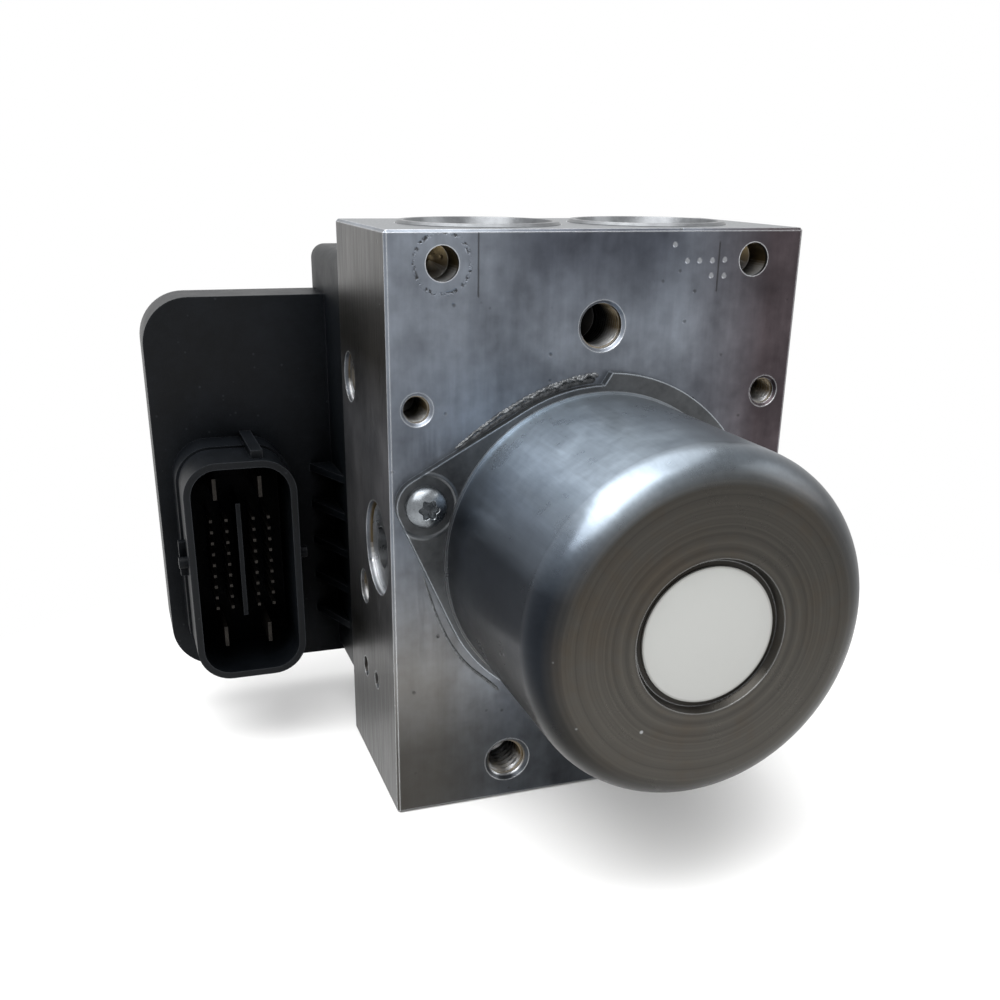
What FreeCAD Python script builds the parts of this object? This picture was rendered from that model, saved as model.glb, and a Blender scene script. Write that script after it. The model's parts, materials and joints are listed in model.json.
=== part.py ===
import FreeCAD, Part
import math
import os
import re

import Sketcher
from FreeCAD import Placement, Rotation, Vector

# Anti-lock brake module: an aluminium valve block, a pump motor on its front and a control unit on its back.
# Frame: origin at the middle of the block's bottom face, +Z up, the motor points to -Y, the plug wing to -X.
# All lengths are millimetres.

sizes = {
    # valve block
    "block_width": 85.0,
    "block_depth": 42.0,
    "block_height": 118.0,
    "block_edge": 0.5,
    "axis_height": 55.8,
    "drill_angle": 118.0,
    "locating_pitch": 63.6,
    "locating_drop": 5.8,
    "locating_bore": 6.3,
    "locating_depth": 7.0,
    "centre_port_drop": 17.7,
    "centre_port_bore": 8.6,
    "centre_port_mouth": 9.8,
    "centre_port_depth": 14.0,
    "bracket_pitch": 73.8,
    "bracket_drop": 31.8,
    "bracket_bore": 5.2,
    "bracket_mouth": 6.4,
    "bracket_depth": 12.0,
    "foot_pitch": 35.7,
    "foot_height": 9.0,
    "foot_bore": 8.2,
    "foot_mouth": 10.1,
    "foot_depth": 12.0,
    "outlet_count": 4,
    "outlet_pitch": 20.0,
    "outlet_row": 9.0,
    "outlet_bore": 9.0,
    "outlet_mouth": 10.4,
    "inlet_pitch": 62.0,
    "inlet_row": -8.0,
    "inlet_bore": 11.0,
    "inlet_mouth": 12.4,
    "port_depth": 12.0,
    # cross drillings in the two side faces, and the plugs that close them
    "upper_gallery_place": 12.5,
    "upper_gallery_drop": 31.0,
    "upper_gallery_bore": 10.4,
    "upper_gallery_depth": 11.0,
    "middle_gallery_place": 4.7,
    "middle_gallery_sink": 13.0,
    "middle_gallery_bore": 7.6,
    "middle_gallery_depth": 6.0,
    "rear_gallery_place": 6.0,
    "rear_gallery_height": 23.0,
    "rear_gallery_bore": 4.6,
    "front_gallery_place": -4.4,
    "front_gallery_height": 24.1,
    "front_gallery_bore": 3.9,
    "small_gallery_depth": 7.0,
    "plug_sink": 1.1,
    "plug_length": 3.4,
    "plug_dimple": 0.6,
    "plug_dimple_mouth": 0.6,
    "plug_dimple_floor": 0.45,
    # fits
    "seat_gap": 0.05,
    "running_gap": 0.05,
    "face_gap": 0.3,
    "press_gap": 0.02,
    "spring_gap": 0.05,
    # pump
    "pump_set_back": 12.5,
    "pump_bore_radius": 6.5,
    "pump_mouth_radius": 9.75,
    "pump_mouth_depth": 7.0,
    "pump_bore_lap": 2.0,
    "pump_plug_sink": 1.2,
    "pump_plug_edge": 0.8,
    "pump_plug_recess_radius": 4.3,
    "pump_plug_recess_depth": 3.0,
    "pump_plug_spigot": 2.0,
    "sleeve_start": 14.5,
    "sleeve_floor": 2.0,
    "piston_radius": 4.0,
    "piston_length": 14.0,
    "piston_edge": 0.6,
    "piston_clearance": 0.3,
    "piston_pocket_radius": 2.9,
    "piston_pocket_depth": 3.0,
    "pump_spring_wire": 0.4,
    "pump_spring_side_gap": 0.2,
    "valve_passage_radius": 1.0,
    # low pressure accumulators
    "accumulator_pitch": 36.6,
    "accumulator_radius": 13.0,
    "accumulator_depth": 22.0,
    "cap_radius": 16.4,
    "cap_depth": 2.5,
    "cap_rim_rise": 0.6,
    "cap_rim_width": 1.6,
    "cap_rim_edge": 0.5,
    "cap_rim_slope": 0.9,
    "cap_dish_depth": 1.6,
    "cap_spigot_depth": 3.5,
    "cap_pocket_radius": 9.2,
    "cap_pocket_depth": 2.5,
    "accumulator_piston_rest": 0.3,
    "accumulator_piston_height": 9.0,
    "accumulator_piston_edge": 1.0,
    "accumulator_piston_floor": 2.6,
    "accumulator_piston_pocket": 9.4,
    "ring_groove_depth": 1.5,
    "ring_groove_width": 3.0,
    "ring_groove_rise": 4.6,
    "accumulator_spring_wire": 0.8,
    # motor
    "flange_thickness": 2.0,
    "flange_radius": 33.6,
    "flange_lobe_radius": 36.0,
    "flange_lobe_start": 0.8,
    "flange_lobe_slope": 1.6,
    "flange_lobe_foot": 17.0,
    "ear_radius": 5.6,
    "ear_out": 36.1,
    "ear_rise": 12.3,
    "pilot_radius": 14.0,
    "pilot_depth": 4.0,
    "chamber_radius": 12.0,
    "chamber_depth": 20.0,
    "end_bearing_radius": 5.5,
    "end_bearing_depth": 29.0,
    "end_bearing_width": 8.0,
    "motor_screw_radius": 2.45,
    "motor_screw_depth": 8.0,
    "motor_screw_point": 0.6,
    "motor_screw_tip_gap": 0.2,
    "motor_screw_head": 4.1,
    "motor_screw_head_height": 3.2,
    "motor_screw_head_foot": 0.7,
    "drive_recess_radius": 2.2,
    "drive_recess_depth": 1.6,
    "can_radius": 32.0,
    "can_wall": 2.0,
    "can_length": 48.4,
    "can_corner": 6.5,
    "can_foot_radius": 32.5,
    "can_foot_height": 0.6,
    "can_foot_lip": 0.5,
    "can_dish_radius": 13.3,
    "can_dish_depth": 1.6,
    "can_dish_bevel": 0.7,
    "can_dish_back": 2.0,
    "label_radius": 12.3,
    "label_thickness": 0.4,
    "magnet_thickness": 2.4,
    "magnet_start": 13.0,
    "magnet_length": 27.0,
    "magnet_angle": 72.0,
    "magnet_count": 4,
    "shaft_radius": 4.0,
    "shaft_edge": 0.5,
    "shaft_end_gap": 0.4,
    "tail_radius": 3.0,
    "tail_edge": 0.4,
    "tail_end_gap": 0.5,
    "eccentric_offset": 1.0,
    "eccentric_radius": 5.4,
    "eccentric_ring_radius": 9.0,
    "eccentric_width": 9.0,
    "eccentric_step": 0.6,
    "eccentric_ring_edge": 0.5,
    "bearing_width": 5.0,
    "bearing_radius": 8.0,
    "bearing_race": 1.1,
    "ball_count": 8,
    "rear_bush_wall": 3.0,
    "rear_bush_length": 5.0,
    "core_radius": 26.2,
    "core_start": 17.5,
    "core_length": 22.0,
    "slot_count": 10,
    "slot_mouth": 2.4,
    "slot_mouth_lap": 1.0,
    "slot_root_radius": 12.5,
    "slot_root_width": 3.0,
    "slot_top_radius": 24.0,
    "slot_top_width": 9.0,
    "slot_liner": 0.2,
    "copper_out": 0.5,
    "end_turn_height": 4.2,
    "end_turn_gap": 0.1,
    "end_turn_shoulder": 2.3,
    "end_turn_bulge": 0.8,
    "end_turn_top_in": 1.8,
    "end_turn_root_out": 1.5,
    "commutator_radius": 9.5,
    "commutator_start": 4.6,
    "commutator_length": 8.0,
    "commutator_slit": 0.6,
    "commutator_slit_depth": 1.2,
    "holder_radius": 28.6,
    "holder_eye_radius": 10.6,
    "holder_plate": 2.2,
    "brush_width": 6.0,
    "brush_height": 6.0,
    "brush_length": 9.0,
    "brush_gap": 0.15,
    "guide_wall": 1.2,
    "guide_reach": 27.0,
    "guide_start_gap": 1.2,
    "brush_spring_wire": 0.3,
    "contact_radius": 2.8,
    "contact_out": 14.5,
    "contact_sink": 10.0,
    "contact_pin_radius": 1.0,
    "bead_width": 1.1,
    "bead_height": 0.9,
    "bead_foot": 21.5,
    # solenoid valves
    "valve_pitch": 19.0,
    "valve_count": 4,
    "inlet_valve_height": 74.0,
    "outlet_valve_height": 33.0,
    "valve_radius": 5.5,
    "valve_depth": 13.0,
    "valve_nose_radius": 2.5,
    "valve_nose_length": 4.0,
    "valve_nose_gap": 0.2,
    "valve_collar": 0.8,
    "dome_radius": 3.6,
    "dome_wall": 0.8,
    "dome_edge": 1.0,
    "dome_inner_edge": 0.6,
    "dome_length": 18.4,
    "seat_radius": 0.6,
    "seat_mouth_radius": 1.5,
    "seat_depth": 1.2,
    "plunger_room_start": 3.0,
    "inlet_plunger_start": 4.0,
    "outlet_plunger_start": 1.0,
    "plunger_radius": 2.72,
    "plunger_length": 8.0,
    "plunger_stem_radius": 1.0,
    "plunger_tip_radius": 0.5,
    "plunger_tip_cone": 0.5,
    "plunger_tip_reach": 0.7,
    "plunger_stroke": 0.4,
    "valve_spring_wire": 0.25,
    "coil_start": 2.6,
    "coil_length": 15.0,
    "coil_radius": 8.0,
    "winding_inset": 0.4,
    "bobbin_wall": 0.8,
    "bobbin_flange": 0.9,
    "yoke_wall": 0.7,
    # control unit
    "coil_case_width": 84.0,
    "coil_case_foot": 13.0,
    "coil_case_drop": 7.0,
    "coil_case_wall": 4.0,
    "coil_case_corner": 3.2,
    "wing_end": -82.6,
    "wing_drop": 17.0,
    "wing_corner": 10.4,
    "coil_room_depth": 19.0,
    "tray_depth": 13.0,
    "tray_floor": 2.0,
    "tray_wall": 2.4,
    "lid_thickness": 1.4,
    "lid_field_rise": 1.0,
    "lid_field_inset": 5.0,
    "lid_field_side": 3.0,
    "lid_field_foot": 12.0,
    "gasket_groove_depth": 1.4,
    "gasket_width": 1.6,
    "gasket_inset": 1.2,
    "shroud_left": -78.4,
    "shroud_right": -54.0,
    "shroud_foot": 18.5,
    "shroud_top": 69.0,
    "shroud_length": 22.0,
    "shroud_wall": 1.5,
    "shroud_corner": 7.5,
    "shroud_skirt": 0.6,
    "shroud_skirt_length": 9.0,
    "key_place": -62.0,
    "key_width": 2.6,
    "key_rise": 1.8,
    "key_set_back": 2.0,
    "peg_radius": 1.3,
    "peg_length": 2.0,
    "peg_set_back": 4.6,
    "peg_height": 46.0,
    "peg_bar_width": 1.6,
    "peg_bar_height": 8.0,
    "peg_bar_rise": 1.6,
    "rib_count": 5,
    "rib_first": 61.2,
    "rib_pitch": 9.0,
    "rib_thickness": 1.7,
    "rib_out": 5.3,
    "rib_length": 14.5,
    "rib_root": 0.5,
    "screw_place": 37.3,
    "screw_low": 18.0,
    "screw_drop": 13.0,
    "column_radius": 4.4,
    "unit_screw_radius": 1.95,
    "unit_screw_depth": 10.0,
    "unit_screw_point": 0.6,
    "unit_screw_head": 3.7,
    "unit_screw_head_height": 2.6,
    "unit_screw_head_edge": 0.8,
    "screw_window_gap": 0.5,
    "post_radius": 2.0,
    "post_height": 2.0,
    "post_from_wing": 13.0,
    "post_from_case": 8.0,
    "post_from_end": 14.0,
    "board_thickness": 1.6,
    "board_margin": 0.7,
    "board_drop": 17.0,
    "controller_out": 8.0,
    "controller_side": 16.0,
    "package_rise": 1.6,
    "capacitor_radius": 4.5,
    "capacitor_rise": 5.2,
    "pin_set_back": 7.0,
    "pin_width": 0.64,
    "pin_rows": 9,
    "pin_row_pitch": 2.6,
    "inner_column": 3.0,
    "outer_column": 6.4,
    "blade_width": 4.8,
    "blade_thickness": 0.8,
    "blade_offset": 5.0,
    "blade_reach": 17.6,
    "divider_width": 1.0,
    "divider_height": 27.0,
    "divider_length": 11.0,
}

# Places in the block's frame that follow from the sizes.
places = {
    "locating_height": "block_height - locating_drop",
    "centre_port_height": "block_height - centre_port_drop",
    "bracket_height": "block_height - bracket_drop",
    "upper_gallery_height": "block_height - upper_gallery_drop",
    "middle_gallery_height": "axis_height - middle_gallery_sink",
    "pump_place": "pump_set_back - block_depth/2",
    "contact_height": "axis_height - contact_sink",
    "coil_case_top": "block_height - coil_case_drop",
    "wing_top": "block_height - wing_drop",
    "wing_front": "block_depth/2 + coil_room_depth",
    "shroud_rim": "wing_front - shroud_length",
    "key_start": "shroud_rim + key_set_back",
    "peg_place": "shroud_rim + peg_set_back",
    "rib_start": "wing_front - rib_length",
    "screw_high": "block_height - screw_drop",
    "pin_tip": "shroud_rim + pin_set_back",
}

doc = FreeCAD.newDocument("BrakeModule")
parts = {}


def make_sheet():
    """One row for each driving size and for each place that follows: its name, its value and an alias."""
    sheet = doc.addObject("Spreadsheet::Sheet", "Sizes")
    rows = [(name, str(amount)) for name, amount in sizes.items()]
    rows += [(name, "=" + text) for name, text in places.items()]
    for row, (name, text) in enumerate(rows, 1):
        sheet.set("A%d" % row, name)
        sheet.set("B%d" % row, text)
        sheet.setAlias("B%d" % row, name)
    doc.recompute()
    return sheet


sheet = make_sheet()


def formula(text):
    """Put the sheet's name before each size or place that a formula names."""
    def on_sheet(word):
        name = word.group()
        return "Sizes." + name if name in sizes or name in places else name

    return re.sub(r"[a-z][a-z_]*", on_sheet, text)


def value(text):
    return float(sheet.evalExpression(formula(text)))


def bind(thing, field, text):
    thing.setExpression(field, formula(text))


# A sketch plane for each way a face can look: origin plane, turn of the sketch on it, sign of its offset.
planes = {
    "front": ("XZ_Plane", Rotation(), "-"),
    "back": ("XZ_Plane", Rotation(Vector(0, 1, 0), 180), "-"),
    "left": ("YZ_Plane", Rotation(Vector(0, 1, 0), 180), ""),
    "right": ("YZ_Plane", Rotation(), ""),
    "top": ("XY_Plane", Rotation(), ""),
    "bottom": ("XY_Plane", Rotation(Vector(1, 0, 0), 180), ""),
}
turns = {
    "up": Rotation(),
    "back": Rotation(Vector(1, 0, 0), -90),
    "left": Rotation(Vector(0, 1, 0), -90),
    "right": Rotation(Vector(0, 1, 0), 90),
}


def on_sketch(facing, spot):
    """A spot in the block's frame, as the two formulas of its place on a sketch."""
    across, up = spot
    if facing in ("back", "left"):
        return "-(%s)" % across, up
    if facing == "bottom":
        return across, "-(%s)" % up
    return across, up


def sketch(body, name, facing, level="0"):
    """A sketch that looks out of the body; level is its plane's place along the axis that it looks along."""
    role, turn, sign = planes[facing]
    drawing = body.newObject("Sketcher::SketchObject", name)
    plane = [item for item in body.Origin.OriginFeatures if item.Role == role][0]
    drawing.AttachmentSupport = [(plane, "")]
    drawing.MapMode = "FlatFace"
    drawing.AttachmentOffset = Placement(Vector(), turn)
    bind(drawing, "AttachmentOffset.Base.z", "%s(%s)" % (sign, level))
    return drawing


def hold_point(drawing, item, corner, spot):
    """Hold one point of a sketch at two formulas measured from the sketch's origin."""
    for kind, text in zip(("DistanceX", "DistanceY"), spot):
        number = drawing.addConstraint(Sketcher.Constraint(kind, -1, 1, item, corner, value(text)))
        bind(drawing, "Constraints[%d]" % number, text)


def outline(drawing, facing, spots):
    """A closed outline of straight lines through the spots."""
    spots = [on_sketch(facing, spot) for spot in spots]
    ends = [Vector(value(a), value(b), 0) for a, b in spots]
    first = drawing.GeometryCount
    count = len(ends)
    for i in range(count):
        drawing.addGeometry(Part.LineSegment(ends[i], ends[(i + 1) % count]))
    for i in range(count):
        drawing.addConstraint(Sketcher.Constraint("Coincident", first + i, 2, first + (i + 1) % count, 1))
    for i, spot in enumerate(spots):
        hold_point(drawing, first + i, 1, spot)


def moved(spot, way, distance):
    """A spot's two formulas, moved by a distance along one of the sketch's axes."""
    signs = [(" + " if step > 0 else " - ") if step else None for step in way]
    return tuple("%s%s(%s)" % (text, sign, distance) if sign else text for text, sign in zip(spot, signs))


def rounded_outline(drawing, facing, spots, radii):
    """A closed outline of lines along the axes, with a radius for each corner, or None where it is sharp."""
    spots = [on_sketch(facing, spot) for spot in spots]
    corners = [Vector(value(a), value(b), 0) for a, b in spots]
    count = len(spots)
    ways = []
    for i in range(count):
        run = corners[(i + 1) % count] - corners[i]
        run.normalize()
        ways.append((round(run.x), round(run.y)))
    leaving, reaching, arcs = [], [], []
    for i in range(count):
        back = tuple(-step for step in ways[i - 1])
        near = moved(spots[i], back, radii[i]) if radii[i] else spots[i]
        far = moved(spots[i], ways[i], radii[i]) if radii[i] else spots[i]
        reaching.append(near)
        leaving.append(far)
        arcs.append(moved(near, ways[i], radii[i]) if radii[i] else None)
    lines = []
    for i in range(count):
        ends = [Vector(value(a), value(b), 0) for a, b in (leaving[i], reaching[(i + 1) % count])]
        lines.append(drawing.addGeometry(Part.LineSegment(*ends)))
        hold_point(drawing, lines[i], 1, leaving[i])
        if radii[(i + 1) % count]:
            hold_point(drawing, lines[i], 2, reaching[(i + 1) % count])
    for i in range(count):
        if not radii[i]:
            drawing.addConstraint(Sketcher.Constraint("Coincident", lines[i - 1], 2, lines[i], 1))
            continue
        join_round(drawing, lines[i - 1], lines[i], arcs[i], radii[i])


def join_round(drawing, before, after, centre, radius):
    """An arc from the end of one line to the start of the next, about a centre given by its formulas."""
    middle = Vector(value(centre[0]), value(centre[1]), 0)
    first, last = drawing.getPoint(before, 2), drawing.getPoint(after, 1)
    angles = [math.atan2(point.y - middle.y, point.x - middle.x) for point in (first, last)]
    left_turn = math.sin(angles[1] - angles[0]) > 0
    circle = Part.Circle(middle, Vector(0, 0, 1), value(radius))
    arc = drawing.addGeometry(Part.ArcOfCircle(circle, *(angles if left_turn else reversed(angles))))
    drawing.addConstraint(Sketcher.Constraint("Coincident", before, 2, arc, 1 if left_turn else 2))
    drawing.addConstraint(Sketcher.Constraint("Coincident", arc, 2 if left_turn else 1, after, 1))
    number = drawing.addConstraint(Sketcher.Constraint("Radius", arc, value(radius)))
    bind(drawing, "Constraints[%d]" % number, radius)


def circles(drawing, facing, spots, radius):
    for spot in spots:
        spot = on_sketch(facing, spot)
        centre = Vector(value(spot[0]), value(spot[1]), 0)
        item = drawing.addGeometry(Part.Circle(centre, Vector(0, 0, 1), value(radius)))
        number = drawing.addConstraint(Sketcher.Constraint("Radius", item, value(radius)))
        bind(drawing, "Constraints[%d]" % number, radius)
        hold_point(drawing, item, 3, spot)


def rectangle(left, right, low, high):
    return [(left, low), (right, low), (right, high), (left, high)]


def new_body(name):
    body = doc.addObject("PartDesign::Body", name)
    body.Label = name
    body.AllowCompound = True
    parts[name] = body
    return body


def grow(body, drawing, length):
    pad = body.newObject("PartDesign::Pad", drawing.Name + "_pad")
    pad.Profile = drawing
    bind(pad, "Length", length)
    body.Tip = pad
    doc.recompute()
    return pad


def cut(body, drawing, length):
    before = body.Shape.Volume
    pocket = body.newObject("PartDesign::Pocket", drawing.Name + "_pocket")
    pocket.Profile = drawing
    bind(pocket, "Length", length)
    body.Tip = pocket
    doc.recompute()
    if not body.Shape.Volume < before:
        raise ValueError(drawing.Name + " cuts nothing")
    return pocket


def draw(body, name, facing, level, spots, radii):
    drawing = sketch(body, name, facing, level)
    if radii is None:
        outline(drawing, facing, spots)
    else:
        rounded_outline(drawing, facing, spots, radii)
    return drawing


def raise_outline(body, name, facing, level, length, spots, radii=None):
    return grow(body, draw(body, name, facing, level, spots, radii), length)


def sink_outline(body, name, facing, level, length, spots, radii=None):
    return cut(body, draw(body, name, facing, level, spots, radii), length)


def raise_rounds(body, name, facing, level, length, spots, radius):
    drawing = sketch(body, name, facing, level)
    circles(drawing, facing, spots, radius)
    return grow(body, drawing, length)


def sink_rounds(body, name, facing, level, length, spots, radius):
    drawing = sketch(body, name, facing, level)
    circles(drawing, facing, spots, radius)
    return cut(body, drawing, length)


def drill(body, name, facing, level, spots, bore, depth, mouth=None, step=None):
    """Drilled holes with a pointed floor; mouth is a chamfer's width, step a counterbore's width and depth."""
    drawing = sketch(body, name, facing, level)
    circles(drawing, facing, spots, "(%s)/2" % bore)
    doc.recompute()
    before = body.Shape.Volume
    hole = body.newObject("PartDesign::Hole", name + "_hole")
    hole.Profile = drawing
    doc.recompute()
    hole.ThreadType = 0
    hole.Threaded = False
    hole.DepthType = "Dimension"
    bind(hole, "Diameter", bore)
    bind(hole, "Depth", depth)
    hole.DrillPoint = "Flat" if step else "Angled"
    if not step:
        bind(hole, "DrillPointAngle", "drill_angle")
    if mouth or step:
        hole.HoleCutType = "Counterbore" if step else "Countersink"
        hole.HoleCutCustomValues = True
        bind(hole, "HoleCutDiameter", step[0] if step else mouth)
    if step:
        bind(hole, "HoleCutDepth", step[1])
    elif mouth:
        hole.HoleCutCountersinkAngle = 90
    body.Tip = hole
    doc.recompute()
    if not body.Shape.Volume < before:
        raise ValueError(name + " cuts nothing")
    return hole


def edge_names(shape, test):
    return ["Edge%d" % (i + 1) for i, edge in enumerate(shape.Edges) if test(edge)]


def dress(body, kind, name, base, edges, size):
    """A fillet or a chamfer on the named edges of a feature."""
    if not edges:
        raise ValueError(name + " finds no edge")
    feature = body.newObject("PartDesign::" + kind, name)
    feature.Base = (base, edges)
    bind(feature, "Radius" if kind == "Fillet" else "Size", size)
    body.Tip = feature
    doc.recompute()
    return feature


def place(thing, x, y, z, turn="up"):
    thing.Placement = Placement(Vector(value(x), value(y), value(z)), turns[turn])
    for letter, text in zip("xyz", (x, y, z)):
        bind(thing, "Placement.Base." + letter, text)


def revolve(body, name, spots, angle=360.0):
    """Turn an outline of (radius, place along the axis) about the body's own Z axis."""
    drawing = sketch(body, name + "_profile", "front")
    outline(drawing, "front", spots)
    turn = body.newObject("PartDesign::Revolution", name + "_turn")
    turn.Profile = drawing
    turn.ReferenceAxis = (drawing, ["V_Axis"])
    if isinstance(angle, str):
        bind(turn, "Angle", angle)
    else:
        turn.Angle = angle
    body.Tip = turn
    doc.recompute()
    return turn


def turned(name, spots, x="0", y="0", z="0", turn="up"):
    body = new_body(name)
    revolve(body, name, spots)
    place(body, x, y, z, turn)
    return body


def row_of(body, name, originals, axis_role, pitch, count, backwards=False):
    pattern = body.newObject("PartDesign::LinearPattern", name)
    pattern.Originals = originals
    axis = [item for item in body.Origin.OriginFeatures if item.Role == axis_role][0]
    pattern.Direction = (axis, [""])
    pattern.Reversed = backwards
    pattern.Mode = "Spacing"
    bind(pattern, "Offset", pitch)
    bind(pattern, "Occurrences", count)
    body.Tip = pattern
    doc.recompute()
    return pattern


def ring_of(body, name, originals, axis_role, count):
    pattern = body.newObject("PartDesign::PolarPattern", name)
    pattern.Originals = originals
    axis = [item for item in body.Origin.OriginFeatures if item.Role == axis_role][0]
    pattern.Axis = (axis, [""])
    pattern.Angle = 360
    bind(pattern, "Occurrences", count)
    body.Tip = pattern
    doc.recompute()
    return pattern


def group(name, members):
    """One node of several separate solids."""
    for member in members:
        parts.pop(member.Label, None)
    bundle = doc.addObject("Part::Compound", name)
    bundle.Label = name
    bundle.Links = members
    parts[name] = bundle
    doc.recompute()
    return bundle


def coil_solid(radius, wire, start, end, rounds, steps, sides):
    """A coil spring's wire: a ring of section points carried along a helix and closed with flat facets."""
    total = rounds * steps
    lift = end - start - 2 * wire
    rings = []
    for i in range(total + 1):
        angle = 2 * math.pi * i / steps
        out = Vector(math.cos(angle), math.sin(angle), 0)
        centre = out * radius + Vector(0, 0, start + wire + lift * i / total)
        rings.append([centre + out * (wire * math.cos(2 * math.pi * (k + 0.5) / sides))
                      + Vector(0, 0, wire * math.sin(2 * math.pi * (k + 0.5) / sides)) for k in range(sides)])
    loops = [list(reversed(rings[0])), rings[-1]]
    for low, high in zip(rings, rings[1:]):
        for k in range(sides):
            after = (k + 1) % sides
            loops.append([low[k], low[after], high[after]])
            loops.append([low[k], high[after], high[k]])
    faces = [Part.Face(Part.makePolygon(loop + loop[:1])) for loop in loops]
    solid = Part.Solid(Part.Shell(faces))
    if solid.Volume < 0:
        solid.reverse()
    return solid


def spring(name, radius, wire, start, end, rounds, where, turn, steps=10, sides=5):
    """A coil spring whose length, radius and wire come from formulas."""
    coil = doc.addObject("Part::Feature", name)
    coil.Label = name
    coil.Shape = coil_solid(value(radius), value(wire), value(start), value(end), rounds, steps, sides)
    place(coil, *where, turn)
    parts[name] = coil
    return coil


# The block and what closes it.

front_face = "-block_depth/2"
back_face = "block_depth/2"
side_face = "block_width/2"
motor_axis = ("0", "axis_height")
left_ear = ("-ear_out", "axis_height + ear_rise")
right_ear = ("ear_out", "axis_height - ear_rise")


def both_sides(half_pitch, height):
    return [("-(%s)" % half_pitch, height), (half_pitch, height)]


valve_columns = ["valve_pitch*(%d - (valve_count - 1)/2)" % step for step in range(sizes["valve_count"])]
outlet_columns = ["outlet_pitch*(%d - (outlet_count - 1)/2)" % step for step in range(sizes["outlet_count"])]
galleries = {
    "upper": ("upper_gallery_place", "upper_gallery_height", "upper_gallery_bore", "upper_gallery_depth"),
    "middle": ("middle_gallery_place", "middle_gallery_height", "middle_gallery_bore", "middle_gallery_depth"),
    "rear": ("rear_gallery_place", "rear_gallery_height", "rear_gallery_bore", "small_gallery_depth"),
    "front": ("front_gallery_place", "front_gallery_height", "front_gallery_bore", "small_gallery_depth"),
}


def make_block():
    body = new_body("hydraulic_block")
    blank = raise_outline(body, "block_section", "top", "0", "block_height",
                          rectangle("-block_width/2", "block_width/2", front_face, back_face))
    dress(body, "Chamfer", "block_edges", blank, edge_names(blank.Shape, lambda edge: True), "block_edge")
    drill_front(body)
    drill_back(body)
    drill_ends(body)
    drill_sides(body)


def drill_front(body):
    drill(body, "locating_holes", "front", front_face, both_sides("locating_pitch/2", "locating_height"),
          "locating_bore", "locating_depth")
    drill(body, "centre_port", "front", front_face, [("0", "centre_port_height")],
          "centre_port_bore", "centre_port_depth", mouth="centre_port_mouth")
    drill(body, "bracket_holes", "front", front_face, both_sides("bracket_pitch/2", "bracket_height"),
          "bracket_bore", "bracket_depth", mouth="bracket_mouth")
    drill(body, "foot_holes", "front", front_face, both_sides("foot_pitch/2", "foot_height"),
          "foot_bore", "foot_depth", mouth="foot_mouth")
    drill(body, "motor_screw_holes", "front", front_face, [left_ear, right_ear],
          "2*motor_screw_radius + 2*seat_gap", "motor_screw_depth")
    drill(body, "pump_chamber", "front", front_face, [motor_axis], "2*chamber_radius", "chamber_depth",
          step=("2*pilot_radius", "pilot_depth"))
    sink_rounds(body, "end_bearing_seat", "front", front_face, "end_bearing_depth", [motor_axis],
                "end_bearing_radius")
    sink_rounds(body, "contact_passage", "front", front_face, "block_depth",
                [("contact_out", "contact_height")], "contact_radius + seat_gap")


def drill_back(body):
    for row in ("inlet", "outlet"):
        spots = [(column, row + "_valve_height") for column in valve_columns]
        sink_rounds(body, row + "_valve_bores", "back", back_face, "valve_depth", spots, "valve_radius")
        sink_rounds(body, row + "_valve_noses", "back", back_face, "valve_depth + valve_nose_length", spots,
                    "valve_nose_radius")
    drill(body, "unit_screw_holes", "back", back_face, unit_screw_spots(), "2*unit_screw_radius + 2*seat_gap",
          "unit_screw_depth")


def drill_ends(body):
    drill(body, "accumulator_bores", "top", "block_height", both_sides("accumulator_pitch/2", "0"),
          "2*accumulator_radius", "accumulator_depth", step=("2*cap_radius", "cap_depth"))
    drill(body, "outlet_ports", "bottom", "0", [(column, "outlet_row") for column in outlet_columns],
          "outlet_bore", "port_depth", mouth="outlet_mouth")
    drill(body, "inlet_ports", "bottom", "0", both_sides("inlet_pitch/2", "inlet_row"),
          "inlet_bore", "port_depth", mouth="inlet_mouth")


def drill_sides(body):
    for facing, level in (("left", "-block_width/2"), ("right", side_face)):
        drill(body, facing + "_pump_bore", facing, level, [("pump_place", "axis_height")],
              "2*pump_bore_radius", "block_width/2 - chamber_radius + pump_bore_lap",
              step=("2*pump_mouth_radius", "pump_mouth_depth"))
        for name, (across, up, bore, depth) in galleries.items():
            drill(body, "%s_%s_gallery" % (facing, name), facing, level, [(across, up)], bore, depth)


def unit_screw_spots():
    return both_sides("screw_place", "screw_low") + both_sides("screw_place", "screw_high")


def make_gallery_plugs():
    """Pressed plugs that close the cross drillings, a little below the side faces."""
    plugs = []
    for side in ("left", "right"):
        sign = "-" if side == "left" else ""
        for name, (across, up, bore, depth) in galleries.items():
            radius = "(%s)/2 - seat_gap" % bore
            outer = "block_width/2 - plug_sink"
            inner = "block_width/2 - plug_sink - plug_length"
            plug = turned("%s_%s_gallery_plug" % (side, name),
                          [("0", inner), (radius, inner), (radius, outer),
                           ("(%s)*plug_dimple_mouth" % radius, outer),
                           ("(%s)*plug_dimple_floor" % radius, outer + " - plug_dimple"),
                           ("0", outer + " - plug_dimple")],
                          "0", across, up, side)
            plugs.append(plug)
    group("gallery_plugs", plugs)


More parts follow.
